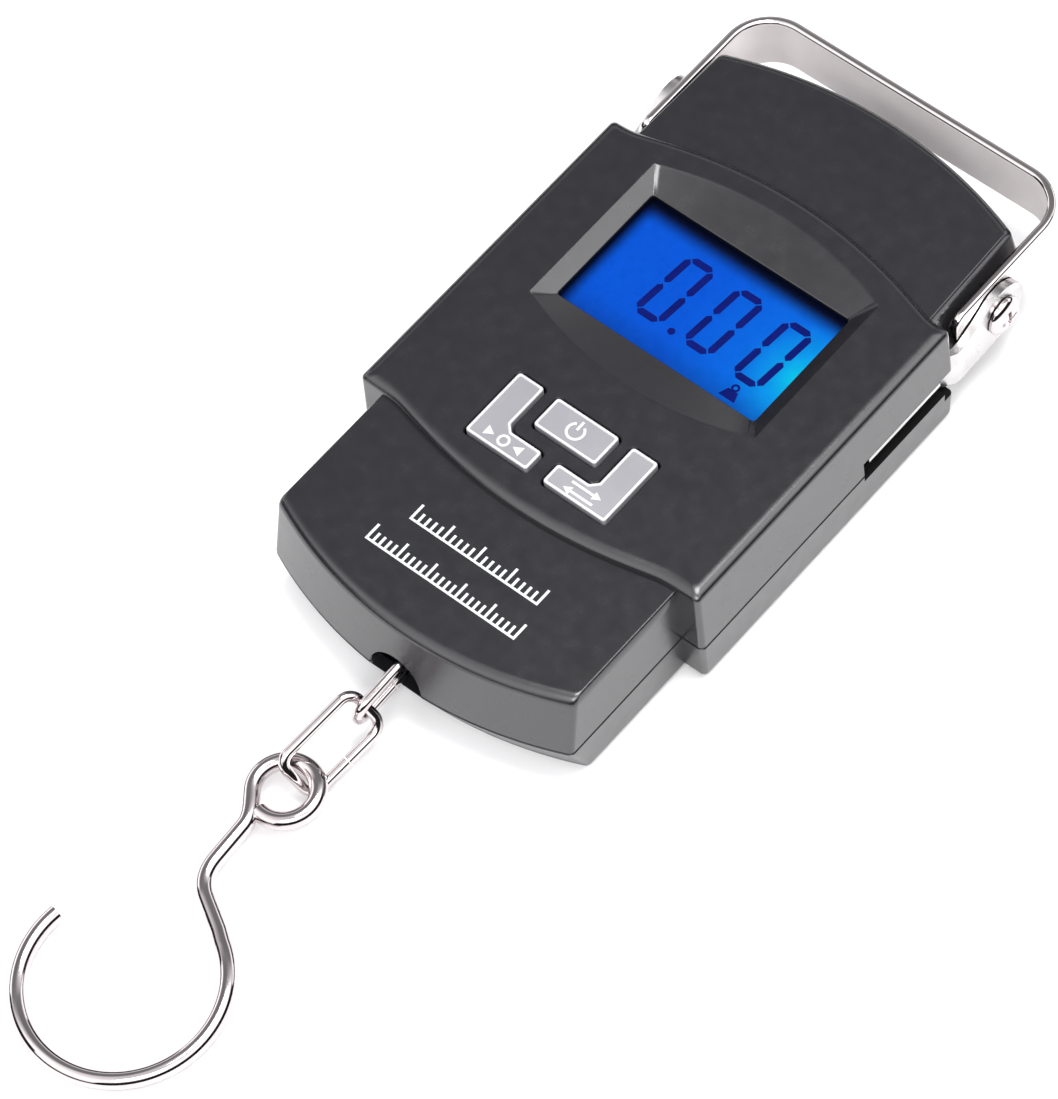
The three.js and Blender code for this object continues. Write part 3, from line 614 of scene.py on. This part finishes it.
left_key = [(-12.4, -26.2), (-1.45, -26.2), (-1.45, -22.7), (-6.9, -22.7),
            (-7.9, -21.7), (-7.9, -14.5), (-12.4, -14.5)]
right_key = [(-x, y) for x, y in reversed(left_key)]
centre_key = [(-5.5, -19.9), (5.5, -19.9), (5.5, -14.5), (-5.5, -14.5)]
keys = [("button_left", "key_left", left_key), ("button_centre", "key_centre", centre_key),
        ("button_right", "key_right", right_key)]


def narrow_edge(lean, roll, inset):
    return narrow_outline(*(start + more * inset for start, more in zip(lean, roll)))


def groove_levels(z, way):
    """(height, inset) of the recessed lip that leaves a dark line where the shells meet."""
    return [(z, SEAM_INSET), (z + 0.09 * way, SEAM_INSET), (z + 0.10 * way, 0.08),
            (z + 0.2 * way, 0.0)]


def within(point, low, high):
    return all(a < p < b for a, p, b in zip(low, point, high))


def paint_recess_shade(shell):
    """Paints a near-black shade with a rough surface on the slot walls, the key and display pocket
    walls and the level faces inside the case, where shade falls.
    """
    shell.data.materials.append(recess)
    for polygon in shell.data.polygons:
        x, y, z = (c / MM for c in polygon.center)
        at = (abs(x), y, z)
        n = polygon.normal
        level = abs(n.z) > 0.5
        outer_wall = abs(n.x) > 0.9 and abs(x) > WIDE_HALF - 0.8
        if (within(at, *SLOT_REGION) and not outer_wall
                or within(at, *POCKET_REGION) and not level
                or within(at, *INNER_REGION) and level):
            polygon.material_index = 1


def open_and_finish(shell, material, node):
    """What both shells share: the end hole, the arm slots, shading and materials."""
    combine(shell, rod("hole", **END_HOLE))
    combine(shell, rod("flare", **END_FLARE))
    for side in (-1, 1):
        for name, cut in ARM_CUTS.items():
            combine(shell, side_block(name, side, *cut))
    shade(shell, 28)
    steady(shell)
    finish_piece(shell, material, "case", [node])
    paint_recess_shade(shell)


def front_case():
    """Front half: narrow and wide bodies, hollowed, with bezel, display opening and key pockets."""
    narrow_levels = [(z, narrow_outline(inset, inset)) for z, inset in groove_levels(PART_Z, 1)]
    for inset, rise in ease(9):
        narrow_levels.append((NARROW_Z - NARROW_FILLET + NARROW_FILLET * rise,
                              narrow_edge(NARROW_LEAN, NARROW_ROLL, inset)))
    shell = loft("front_case", narrow_levels, 40)
    wide_levels = [(z, wide_outline(inset)) for z, inset in groove_levels(PART_Z, 1)]
    for inset, rise in ease(9):
        wide_levels.append((WIDE_Z - WIDE_FILLET + WIDE_FILLET * rise,
                            wide_outline(WIDE_LEAN + WIDE_ROLL * inset)))
    combine(shell, loft("wide", wide_levels, 40), "UNION")
    hollow = loft("hollow", [(PART_Z - 1, narrow_outline(WALL, WALL)),
                             (NARROW_Z - WALL, narrow_outline(WALL + 0.3, WALL + 2.2))])
    combine(shell, hollow)
    combine(shell, block("hollow", *CAVITY, PART_Z - 1, WIDE_Z - 2))
    outer = bowed_box(**BEZEL)
    inner = bowed_box(-LCD_X, LCD_X, LCD_LOW, LCD_HIGH, 0, 0)

    def slope(t):
        return [(a[0] + (b[0] - a[0]) * t, a[1] + (b[1] - a[1]) * t) for a, b in zip(inner, outer)]

    bezel = loft("bezel", [(WIDE_Z - BEZEL_DEPTH, inner), (WIDE_Z - 0.14, slope(0.90)),
                           (WIDE_Z - 0.06, slope(0.95)), (WIDE_Z, slope(1.01)),
                           (WIDE_Z + 1, slope(1.01))])
    combine(shell, bezel)
    opening = rounded(rectangle(-LCD_X, LCD_X, LCD_LOW, LCD_HIGH), 0.5)
    flare = rounded(rectangle(-LCD_X - 0.2, LCD_X + 0.2, LCD_LOW - 0.2, LCD_HIGH + 0.2), 0.7)
    rim = WIDE_Z - BEZEL_DEPTH
    combine(shell, loft("opening", [(CUT_FLOOR, opening), (rim - 0.12, opening),
                                    (rim + 0.1, flare), (rim + 0.3, flare)]))
    for _, _, outline in keys:
        around = rounded(grown(outline, KEY_GAP), KEY_RADIUS + 0.3)
        wider = rounded(grown(outline, KEY_GAP + KEY_CHAMFER), KEY_RADIUS + 0.45)
        combine(shell, loft("pocket", [(CUT_FLOOR, around), (WIDE_Z - KEY_CHAMFER, around),
                                       (WIDE_Z, wider), (WIDE_Z + 1, wider)]))
    open_and_finish(shell, charcoal, "front_shell")


def rear_case():
    """Back half: flat resting face, battery bay with its ribs, and posts for the case screws."""
    narrow_levels, wide_levels = [], []
    for inset, rise in reversed(ease(8)):
        z = REAR_FILLET - REAR_FILLET * rise
        narrow_levels.append((z, narrow_edge(REAR_NARROW_LEAN, REAR_NARROW_ROLL, inset)))
        wide_levels.append((z, wide_outline(REAR_WIDE_LEAN + REAR_WIDE_ROLL * inset)))
    edge = groove_levels(REAR_TOP, -1)[::-1]
    narrow_levels += [(z, narrow_outline(inset, inset)) for z, inset in edge]
    wide_levels += [(z, wide_outline(inset)) for z, inset in edge]
    shell = loft("rear_case", narrow_levels, 40)
    combine(shell, loft("wide", wide_levels, 40), "UNION")
    combine(shell, loft("pan", [(WALL, narrow_outline(WALL + 0.4, WALL + 2.9)),
                                (PART_Z + 1, narrow_outline(WALL, WALL - 0.4))]))
    combine(shell, block("pan", *CAVITY, WALL, PART_Z + 1))
    for half, y0, y1 in RIBS:
        combine(shell, block("rib", -half, half, y0, y1, 1, REAR_TOP), "UNION")
    combine(shell, block("bay", -DOOR["x"] - GAP, DOOR["x"] + GAP, DOOR["low"] - GAP,
                         DOOR["high"] + GAP, -1, 3))
    for x, y in SCREWS:
        combine(shell, rod("post", "z", POST_RADIUS, 0.4, REAR_TOP, x, y, 36), "UNION")
        combine(shell, rod("hole", "z", BORE_RADIUS, -1, PART_Z + 1, x, y, 24))
        combine(shell, rod("recess", "z", HEAD_RADIUS, -1, 3, x, y, 36))
    open_and_finish(shell, charcoal_rear, "rear_shell")


front_case()
rear_case()


# ---- keys with a raised rim
def key_cap(node, body, outline):
    """A cap with a raised rim round a sunk face, and a stem that reaches the mat's pip."""
    def at(inset, radius):
        return rounded(grown(outline, -inset), radius, 4, math.radians(10))

    top = WIDE_Z + KEY_PROUD
    levels = [(KEY_FOOT, at(0, KEY_RADIUS))]
    levels += [(top - depth, at(inset, KEY_RADIUS - lost)) for depth, inset, lost in KEY_PROFILE]
    cap = loft(node + "_cap", levels, 50)
    combine(cap, rod("stem", "z", 1.3, 18.75, 19.2, *KEY_STEMS[node], 24), "UNION")
    shade(cap, 30)
    steady(cap)
    finish_piece(cap, silver_key, body, [node])
    # the second slot is for the raised rim and the top of the sides
    cap.data.materials.append(silver_rim)
    for polygon in cap.data.polygons:
        if polygon.center.z > (top - 0.16) * MM and polygon.normal.z > 0.2:
            in_face = all(cap.data.vertices[v].co.z < (top - 0.1) * MM for v in polygon.vertices)
            polygon.material_index = 0 if in_face else 1
        elif polygon.center.z > (top - 0.3) * MM:
            polygon.material_index = 1


for key_node, key_body, key_outline in keys:
    key_cap(key_node, key_body, key_outline)

# ---- display
for node_name in ("display_window", "lcd_panel"):
    soften(frame["nodes"][node_name], 0.1)


def segment(x0, y0, x1, y1, pen):
    """One bar with pointed ends, between two corners of a digit's centre line."""
    along = Vector((x1 - x0, y1 - y0)).normalized()
    side = Vector((-along.y, along.x)) * pen / 2
    tip = along * DIGIT["gap"]
    a, b = Vector((x0, y0)) + tip, Vector((x1, y1)) - tip
    nose = along * pen / 2
    return [a, a + nose - side, b - nose - side, b, b - nose + side, a + nose + side]


def plates(name, shapes, z0, z1):
    """Thin prisms as one mesh. A shape is an outline, or an (outer, inner) pair for a ring."""
    verts, faces = [], []
    for shape in shapes:
        base = len(verts)
        if isinstance(shape, tuple):
            n = len(shape[0])
            for z in (z0, z1):
                for loop in shape:
                    verts += [(p[0], p[1], z) for p in loop]
            for i in range(n):
                a, b = base + i, base + (i + 1) % n
                faces += [(b, a, a + n, b + n), (a + 2 * n, b + 2 * n, b + 3 * n, a + 3 * n),
                          (a, b, b + 2 * n, a + 2 * n), (b + n, a + n, a + 3 * n, b + 3 * n)]
            continue
        n = len(shape)
        verts += [(p[0], p[1], z0) for p in shape] + [(p[0], p[1], z1) for p in shape]
        faces.append(tuple(base + i for i in reversed(range(n))))
        faces.append(tuple(base + n + i for i in range(n)))
        faces += [(base + i, base + (i + 1) % n, base + n + (i + 1) % n, base + n + i)
                  for i in range(n)]
    return mesh_object(name, verts, faces)


def hoop(radius, inner, centre):
    return ring_points(radius, 24, centre), ring_points(inner, 24, centre)


def zero(left, bottom):
    """The six lit bars of a slanted nought."""
    w, h, pen = DIGIT["width"], DIGIT["height"], DIGIT["pen"]
    x0, x1 = pen / 2, w - pen / 2
    y0, y1, mid = pen / 2, h - pen / 2, h / 2
    bars = [(x0, y1, x1, y1), (x1, y1, x1, mid), (x1, mid, x1, y0),
            (x1, y0, x0, y0), (x0, y0, x0, mid), (x0, mid, x0, y1)]
    return [[(left + p.x + p.y * DIGIT["slant"], bottom + p.y) for p in segment(*bar, pen)]
            for bar in bars]


bars = [bar for corner in DIGIT_CORNERS for bar in zero(*corner)]
bars.append(ring_points(POINT_RADIUS, 20, POINT_AT))
# in place of a unit mark: a plain pictogram of a weight, with its ring
bars.append([(9.9, 0.95), (12.7, 0.95), (12.2, 2.5), (10.5, 2.5)])
bars.append(hoop(0.66, 0.32, (11.35, 3.0)))
digits = plates("display_digits", bars, *DIGIT_HEIGHTS)
finish_piece(digits, digit_material(), "case")

# ---- embossed key symbols
def moved(points, x, y, flip=1):
    """The outline shifted to (x, y), and mirrored left to right when flip is -1."""
    return [(x + flip * p[0], y + p[1]) for p in points][::flip]


def broken_ring(radius, inner, half_gap, steps=28):
    """A C-shaped outline open at the top."""
    start = math.radians(90 + half_gap)
    sweep = math.radians(360 - 2 * half_gap)
    angles = [start + sweep * k / steps for k in range(steps + 1)]
    return [(radius * math.cos(a), radius * math.sin(a)) for a in angles] + [
        (inner * math.cos(a), inner * math.sin(a)) for a in reversed(angles)]


wedge = [(-0.75, -0.85), (0.75, 0), (-0.75, 0.85)]
arrow = [(-2.5, -0.2), (1.3, -0.2), (1.3, -0.7), (2.6, 0), (1.3, 0.7), (1.3, 0.2), (-2.5, 0.2)]
symbols = {
    "button_left": [hoop(1.0, 0.58, (-6.9, -24.45)), moved(wedge, -9.3, -24.45),
                    moved(wedge, -4.5, -24.45, -1)],
    "button_centre": [moved(broken_ring(1.5, 1.08, 32), 0, -17.35),
                      rectangle(-0.21, 0.21, -17.1, -15.5)],
    "button_right": [moved(arrow, 7.3, -23.8), moved(arrow, 6.9, -25.15, -1)],
}
for key_node, key_body, _ in keys:
    mark = plates(key_node + "_symbol", symbols[key_node], *SYMBOL_HEIGHTS)
    finish_piece(mark, silver_rim, key_body)

# ---- strap handle
def strap_line():
    """Middle of the strap's thickness from the left tail round to the right one.

    Each row is a point, the direction towards the inside, and the distance from the tail's tip.
    """
    far = 99    # any row beyond a tail
    half = STRAP["inner"] + STRAP["thick"] / 2
    r = STRAP["bend"] - STRAP["thick"] / 2
    y = STRAP["bar"] - STRAP["thick"] / 2
    pts = []
    for d in (0, 0.08, 0.3, 0.7, 1.2, 1.7, 2.2, 6, 12):
        pts.append(((-half, STRAP["tail"] + d), (1.0, 0.0), d))
    for k in range(17):
        a = math.pi - math.pi / 2 * k / 16
        pts.append(((-half + r + r * math.cos(a), y - r + r * math.sin(a)),
                    (-math.cos(a), -math.sin(a)), far))
    for k in range(9):
        pts.append(((-half + r + (2 * half - 2 * r) * (k + 0.5) / 9, y), (0.0, -1.0), far))
    bend_end = -half + r + 1e-6
    mirrored = [((-p[0], p[1]), (-n[0], n[1]), d) for p, n, d in reversed(pts)
                if d != far or p[0] < bend_end]
    return pts + mirrored


def strap_handle():
    """The strap, swept along its line: u runs across the thickness, w along Z."""
    hu, hw = STRAP["thick"] / 2, (STRAP["z1"] - STRAP["z0"]) / 2
    edge, tail_round, bore = 0.55, 2.0, 1.65
    section = rounded(rectangle(-hu, hu, -hw, hw), edge, 5)
    verts, rows = [], strap_line()
    for (x, y), (nx, ny), d in rows:
        cut = 0.0
        if d < tail_round:
            cut = tail_round - math.sqrt(tail_round ** 2 - (tail_round - d) ** 2)
        scale = (hw - cut) / hw
        for u, w in section:
            verts.append((x + nx * u, y + ny * u, (STRAP["z0"] + STRAP["z1"]) / 2 + w * scale))
    obj = mesh_object("strap_handle", verts, skin(len(rows), len(section)), 50)
    combine(obj, rod("bore", "x", bore, -40, 40, PIVOT_Y, PIVOT_Z, 40))
    shade(obj, 50)
    finish_piece(obj, strap_metal, "strap", ["handle"])
    # the second slot is for the inside of the strap, painted near white to stand in for its
    # reflection of the white surroundings
    obj.data.materials.append(painted_light_strap)
    centre = Vector((0, 30, 0)) * MM
    for polygon in obj.data.polygons:
        n = polygon.normal
        if abs(n.z) < 0.3 and n.dot((centre - polygon.center).normalized()) > 0.25:
            polygon.material_index = 1


strap_handle()


def pivot_screw(node, side):
    """Shouldered cross-head screw, turned from (radius, distance from the middle) points."""
    tip, ear = STRAP["inner"] + 0.1, ARM_OUT + ARM_THICK
    profile = [(0, tip), (1.45, tip), (1.55, STRAP["inner"] + 0.2),
               (1.55, ARM_OUT - 0.12), (1.95, ARM_OUT - 0.12), (1.95, ear + 0.12),
               (2.95, ear + 0.12), (3.05, ear + 0.2), (3.05, ear + 0.5), (2.96, ear + 0.74),
               (2.72, ear + 1.02), (2.3, ear + 1.3), (1.7, ear + 1.52), (1.0, ear + 1.65),
               (0, ear + 1.7)]
    obj = lathe(node + "_turned", profile)
    floor_at, long, narrow = ear + 0.75, 1.6, 0.34    # the cross recess
    combine(obj, block("slot", -long, long, -narrow, narrow, floor_at, ear + 3))
    combine(obj, block("slot", -narrow, narrow, -long, long, floor_at, ear + 3))
    turn = Matrix(((0, 0, side), (1, 0, 0), (0, side, 0))).to_4x4()
    obj.data.transform(Matrix.Translation(Vector((0, PIVOT_Y, PIVOT_Z)) * MM) @ turn)
    soften(obj, 0.06, 50)
    settle(obj)
    shade(obj, 34)
    finish_piece(obj, polished, "strap", [node])


pivot_screw("pivot_screw_left", -1)
pivot_screw("pivot_screw_right", 1)


# ---- load frame
def load_frame():
    """Strip bent into a U: a cross piece inside the case, and arms that end in round ears."""
    arm_in, z0, z1, ear_r = 27.3, 6.0, 13.0, 5.0
    ear = [(PIVOT_Y + ear_r * math.cos(a), PIVOT_Z + ear_r * math.sin(a))
           for a in (math.radians(-90 + 220 * k / 44) for k in range(45))]
    profile = rounded([(0, z0), (29.6, z0)] + ear + [(33.0, 14.2), (30.0, z1), (0, z1)], 2.0)
    arms = []
    for side in (-1, 1):
        outline = rounded([(arm_in, 7.4), (arm_in + ARM_THICK, 7.4), (arm_in + ARM_THICK, 25.8),
                           (ARM_OUT + ARM_THICK, 28.4), (ARM_OUT + ARM_THICK, 44),
                           (ARM_OUT, 44), (ARM_OUT, 28.6), (arm_in, 26)], 0.5, 4)
        outline = [(side * x, y) for x, y in outline][::side]
        blank = loft("arm", [(5, outline), (18, outline)])
        x0, x1 = sorted((side * 20, side * 36))
        cutter = loft("profile", [(x0, profile), (x1, profile)])
        cutter.data.transform(X_UP.to_4x4())
        combine(blank, cutter, "INTERSECT")
        combine(blank, side_block("bead", side, *ARM_BEAD), "UNION")
        arms.append(blank)
    obj = block("load_frame_strip", -28.4, 28.4, 7.4, 8.6, z0, z1)
    for arm in arms:
        combine(obj, arm, "UNION")
    combine(obj, rod("bore", "x", 2.1, -40, 40, PIVOT_Y, PIVOT_Z, 40))
    for x in (-3.4, 3.4):
        combine(obj, rod("bore", "y", 1.3, 0, 20, x, 9.5, 24))
    soften(obj, 0.14, 45)
    shade(obj, 35)
    finish_piece(obj, sheet_steel, "case", ["load_frame"])


load_frame()

# CAD nodes that keep their shape, with their edges broken
for node_name, width in [("battery_door", 0.2), ("load_cell", 0.15)] + [
        (f"case_screw_{k}", 0.12) for k in range(1, 5)]:
    soften(frame["nodes"][node_name], width, 50)


# ---- chain and hook
def wire_curve(name, points, radius):
    """Round wire along the points, with capped ends."""
    curve = bpy.data.curves.new(name, "CURVE")
    curve.dimensions = "3D"
    curve.bevel_depth = radius * MM
    curve.bevel_resolution = 6
    curve.use_fill_caps = True
    spline = curve.splines.new("POLY")
    spline.points.add(len(points) - 1)
    for target, p in zip(spline.points, points):
        target.co = (*(Vector(p) * MM), 1.0)
    spline.use_smooth = True
    return new_object(name, curve)


def plane_of(start, end, roll):
    """Unit directions along and across a link that is rolled about its length."""
    along = (end - start).normalized()
    level = Vector((0, 0, 1)).cross(along).normalized()
    return along, Matrix.Rotation(roll, 3, along) @ level


def without_repeats(points, least):
    """The points, less any that lie closer than `least` to the one before."""
    clean = [points[0]]
    for p in points[1:]:
        if (p - clean[-1]).length > least:
            clean.append(p)
    return clean


def ring_path(start, end, half, corner, roll):
    """Centre line of a link with a butt joint half way up one leg."""
    along, across = plane_of(start, end, roll)
    length = (end - start).length
    flat = half - corner

    def at(x, y):
        return start + across * x + along * y

    def bend(x, y, a0):
        return [at(x + corner * math.cos(a0 + math.pi / 2 * k / 10),
                   y + corner * math.sin(a0 + math.pi / 2 * k / 10)) for k in range(11)]

    pts = [at(half, length / 2 + 0.1)]
    pts += bend(flat, length - corner, 0)
    pts += bend(-flat, length - corner, math.pi / 2)
    pts += bend(-flat, corner, math.pi)
    pts += bend(flat, corner, 1.5 * math.pi)
    pts.append(at(half, length / 2 - 0.1))
    return without_repeats(pts, 1e-4)


link_top = Vector((0, -50.3, 9.5))
link_join = Vector((-0.6, -63.2, 7.2))
upper_end = link_join + Vector((-0.1, -1.1, -0.2))
lower_start = link_join + Vector((0, 0.8, 0.2))
lower_end = Vector((-2.6, -75.5, 3.85))
upper = wire_curve("upper_link_wire", ring_path(link_top, upper_end, **UPPER_LINK), LINK_R)
finish_piece(upper, polished, "chain_upper", ["link_upper"])
lower = wire_curve("lower_link_wire", ring_path(lower_start, lower_end, **LOWER_LINK), LINK_R)
finish_piece(lower, polished, "chain_lower", ["link_lower"])


def hook_path():
    """Centre line of the hook: eye, stem, angled neck and open bend, in one flat plane."""
    eye = Vector((-2.6, -77.6, 3.75))
    bend = Vector((-1.25, -112.25, 2.02))
    down = (bend - eye).normalized()
    right = Vector((0, 0, 1)).cross(down).normalized()
    up = -down

    def at(x, y):
        return eye + right * x + up * y

    def circle(centre, radius, a0, a1, steps):
        return [centre + right * radius * math.cos(a0 + (a1 - a0) * k / steps)
                + up * radius * math.sin(a0 + (a1 - a0) * k / steps) for k in range(steps + 1)]

    def cubic(a, b, c, d, steps=14):
        return [a * (1 - t) ** 3 + b * 3 * t * (1 - t) ** 2 + c * 3 * t * t * (1 - t) + d * t ** 3
                for t in (k / steps for k in range(steps + 1))]

    eye_start, leave = math.radians(-103), math.radians(214)
    stem_x, stem_from, stem_to = -1.3, -7.4, -13.2
    neck, bend_stop = math.radians(58.2), math.radians(-191.3)
    neck_length = 6.9
    eye_end = at(HOOK_EYE * math.cos(leave), HOOK_EYE * math.sin(leave))
    eye_tangent = right * -math.sin(leave) + up * math.cos(leave)
    stem_top, stem_low = at(stem_x, stem_from), at(stem_x, stem_to)
    neck_tangent = right * math.sin(neck) - up * math.cos(neck)
    bend_start = at(HOOK_C * math.cos(neck), -HOOK_REACH + HOOK_C * math.sin(neck))
    neck_low = bend_start - neck_tangent * neck_length
    pts = circle(eye, HOOK_EYE, eye_start, leave, 60)
    pts += cubic(eye_end, eye_end + eye_tangent * 1.7, stem_top - down * 1.7, stem_top)
    pts += [stem_top + (stem_low - stem_top) * k / 4 for k in range(1, 4)]
    pts += cubic(stem_low, stem_low + down * 2.6, neck_low - neck_tangent * 2.4, neck_low)
    pts += [neck_low + (bend_start - neck_low) * k / 4 for k in range(1, 4)]
    pts += circle(bend, HOOK_C, neck, bend_stop, 110)
    return without_repeats(pts, 1e-3)


hook = wire_curve("hook_wire", hook_path(), HOOK_R)
finish_piece(hook, polished, "hook_body", ["hook"])

# ---- printed graduation
def graduation():
    """Two rows of plain white ticks on the lower end, in place of any wording."""
    shapes = []
    half = TICK["half"]
    for y, x0, x1, count in TICK_ROWS:
        foot = y - TICK["drop"]
        for i in range(count):
            x = x0 + (x1 - x0) * i / (count - 1)
            tall = TICK["long"] if i % TICK["every"] == 0 else TICK["short"]
            shapes.append(rectangle(x - half, x + half, foot, foot + tall))
        shapes.append(rectangle(x0 - half, x1 + half, foot - TICK["line"], foot))
    obj = plates("printed_ticks", shapes, *TICK_HEIGHTS)
    finish_piece(obj, white_print, "case")


graduation()

# ---- floor, light and camera
def floor():
    size = 1.6    # metres
    mesh = bpy.data.meshes.new("floor")
    mesh.from_pydata([(-size, -size, 0), (size, -size, 0), (size, size, 0), (-size, size, 0)],
                     [], [(0, 1, 2, 3)])
    obj = new_object("floor", mesh)
    mat, tree, shader = new_material("pale_floor")
    tone = noise(tree, 6.0, 4.0)
    colour = ramp(tree, tone, [(NOISE_LOW, (0.9, 0.9, 0.905)),
                               (NOISE_HIGH, (0.92, 0.92, 0.925))])
    tree.links.new(colour, shader.inputs["Base Color"])
    shader.inputs["Roughness"].default_value = 0.7
    mesh.materials.append(mat)


floor()


# place and target in metres, width and height in metres, power in watts
SOFTBOXES = {
    "top": ((0.07, 0.08, 0.78), (0, 0.03, 0), 0.3, 0.3, 3.8),
    "key": ((0.36, 0.36, 0.85), (0, 0, 0), 0.45, 0.45, 0.4),
    "right": ((0.46, 0.22, 0.66), (0.03, 0, 0), 0.4, 0.3, 0.4),
    "near": ((0.30, -0.40, 0.62), (0.03, 0.02, 0), 0.4, 0.3, 2.6),
    "front": ((-0.15, -0.85, 0.40), (0, -0.03, 0), 0.7, 0.35, 1.2),
    "left": ((-0.85, -0.1, 0.30), (0, 0, 0), 0.6, 0.25, 0.9),
    "rear": ((0.25, 0.85, 0.35), (0, 0, 0), 0.6, 0.25, 0.8),
}


def softbox(name, at, target, width, height, power):
    light = bpy.data.lights.new(name, "AREA")
    light.shape = "RECTANGLE"
    light.size, light.size_y = width, height
    light.energy = power
    obj = new_object(name, light)
    obj.location = at
    obj.rotation_euler = (Vector(target) - Vector(at)).to_track_quat("-Z", "Y").to_euler()
    obj.visible_camera = False


for box_name, settings in SOFTBOXES.items():
    softbox(box_name + "_softbox", *settings)

DARK, DIM, PALE = (0.02, 0.02, 0.021), (0.26, 0.26, 0.27), (1.0, 0.99, 1.0)
# colours by the direction's Z: 0 is level or lower, 1 is straight up
DIM_SIDE = [(0.0, DARK), (0.36, DARK), (0.43, PALE), (0.52, PALE), (0.64, DIM), (0.95, DIM),
            (1.0, (0.5, 0.5, 0.51))]
BRIGHT_SIDE = [(0.0, DARK), (0.50, DARK), (0.58, (1.9, 1.88, 1.9)), (0.80, (1.8, 1.78, 1.8)),
               (0.90, (1.5, 1.48, 1.5)), (1.0, (0.9, 0.9, 0.91))]
BRIGHT_TOWARD, SIDE_START, SIDE_END = (0.74, -0.67, 0.0), -0.42, -0.16
WALL_COLOUR = (0.92, 0.92, 0.93, 1.0)


def studio():
    """Surroundings that polished metal reflects: a bright side and a dim one, dark low down."""
    world = bpy.data.worlds.new("studio")
    scene.world = world
    world.use_nodes = True
    tree = world.node_tree
    background = tree.nodes["Background"]
    direction = tree.nodes.new("ShaderNodeTexCoord")
    parts = tree.nodes.new("ShaderNodeSeparateXYZ")
    tree.links.new(direction.outputs["Generated"], parts.inputs["Vector"])
    toward = tree.nodes.new("ShaderNodeVectorMath")
    toward.operation = "DOT_PRODUCT"
    toward.inputs[1].default_value = BRIGHT_TOWARD
    tree.links.new(direction.outputs["Generated"], toward.inputs[0])
    sky = tree.nodes.new("ShaderNodeMix")
    sky.data_type = "RGBA"
    tree.links.new(map_range(tree, toward.outputs["Value"], SIDE_START, SIDE_END),
                   sky.inputs["Factor"])
    tree.links.new(ramp(tree, parts.outputs["Z"], DIM_SIDE), sky.inputs["A"])
    tree.links.new(ramp(tree, parts.outputs["Z"], BRIGHT_SIDE), sky.inputs["B"])
    # a pale wall behind the object, for views level with the floor
    wall = tree.nodes.new("ShaderNodeMix")
    wall.data_type = "RGBA"
    rays = tree.nodes.new("ShaderNodeLightPath")
    tree.links.new(rays.outputs["Is Camera Ray"], wall.inputs["Factor"])
    tree.links.new(sky.outputs["Result"], wall.inputs["A"])
    wall.inputs["B"].default_value = WALL_COLOUR
    tree.links.new(wall.outputs["Result"], background.inputs["Color"])


studio()
scene.view_settings.view_transform = "Standard"


VIEW_ANGLES = (47.603, 57.8, -8.686)    # azimuth, elevation and roll in degrees
CAMERA_ACROSS, CAMERA_RISE, CAMERA_BACK = -19.243, -16.508, 780.237
FOCAL_PIXELS, IMAGE_HEIGHT, SENSOR_HEIGHT = 5548.271, 1099, 36.0


def camera():
    """The photograph's viewpoint, solved from the case's corners, the handle and the hook."""
    azimuth, elevation, roll = (math.radians(a) for a in VIEW_ANGLES)
    back = Vector((math.sin(azimuth) * math.cos(elevation),
                   -math.cos(azimuth) * math.cos(elevation), math.sin(elevation)))
    right = Vector((0, 0, 1)).cross(back).normalized()
    up = back.cross(right)
    across = right * math.cos(roll) + up * math.sin(roll)
    rise = up * math.cos(roll) - right * math.sin(roll)
    place = across * CAMERA_ACROSS + rise * CAMERA_RISE + back * CAMERA_BACK
    data = bpy.data.cameras.new("camera")
    data.sensor_fit = "VERTICAL"
    data.sensor_height = SENSOR_HEIGHT
    data.lens = FOCAL_PIXELS / IMAGE_HEIGHT * SENSOR_HEIGHT
    data.clip_start, data.clip_end = 0.01, 10.0
    obj = new_object("camera", data)
    basis = Matrix((across, rise, back)).transposed().to_4x4()
    obj.matrix_world = Matrix.Translation(place * MM) @ basis
    scene.camera = obj


camera()
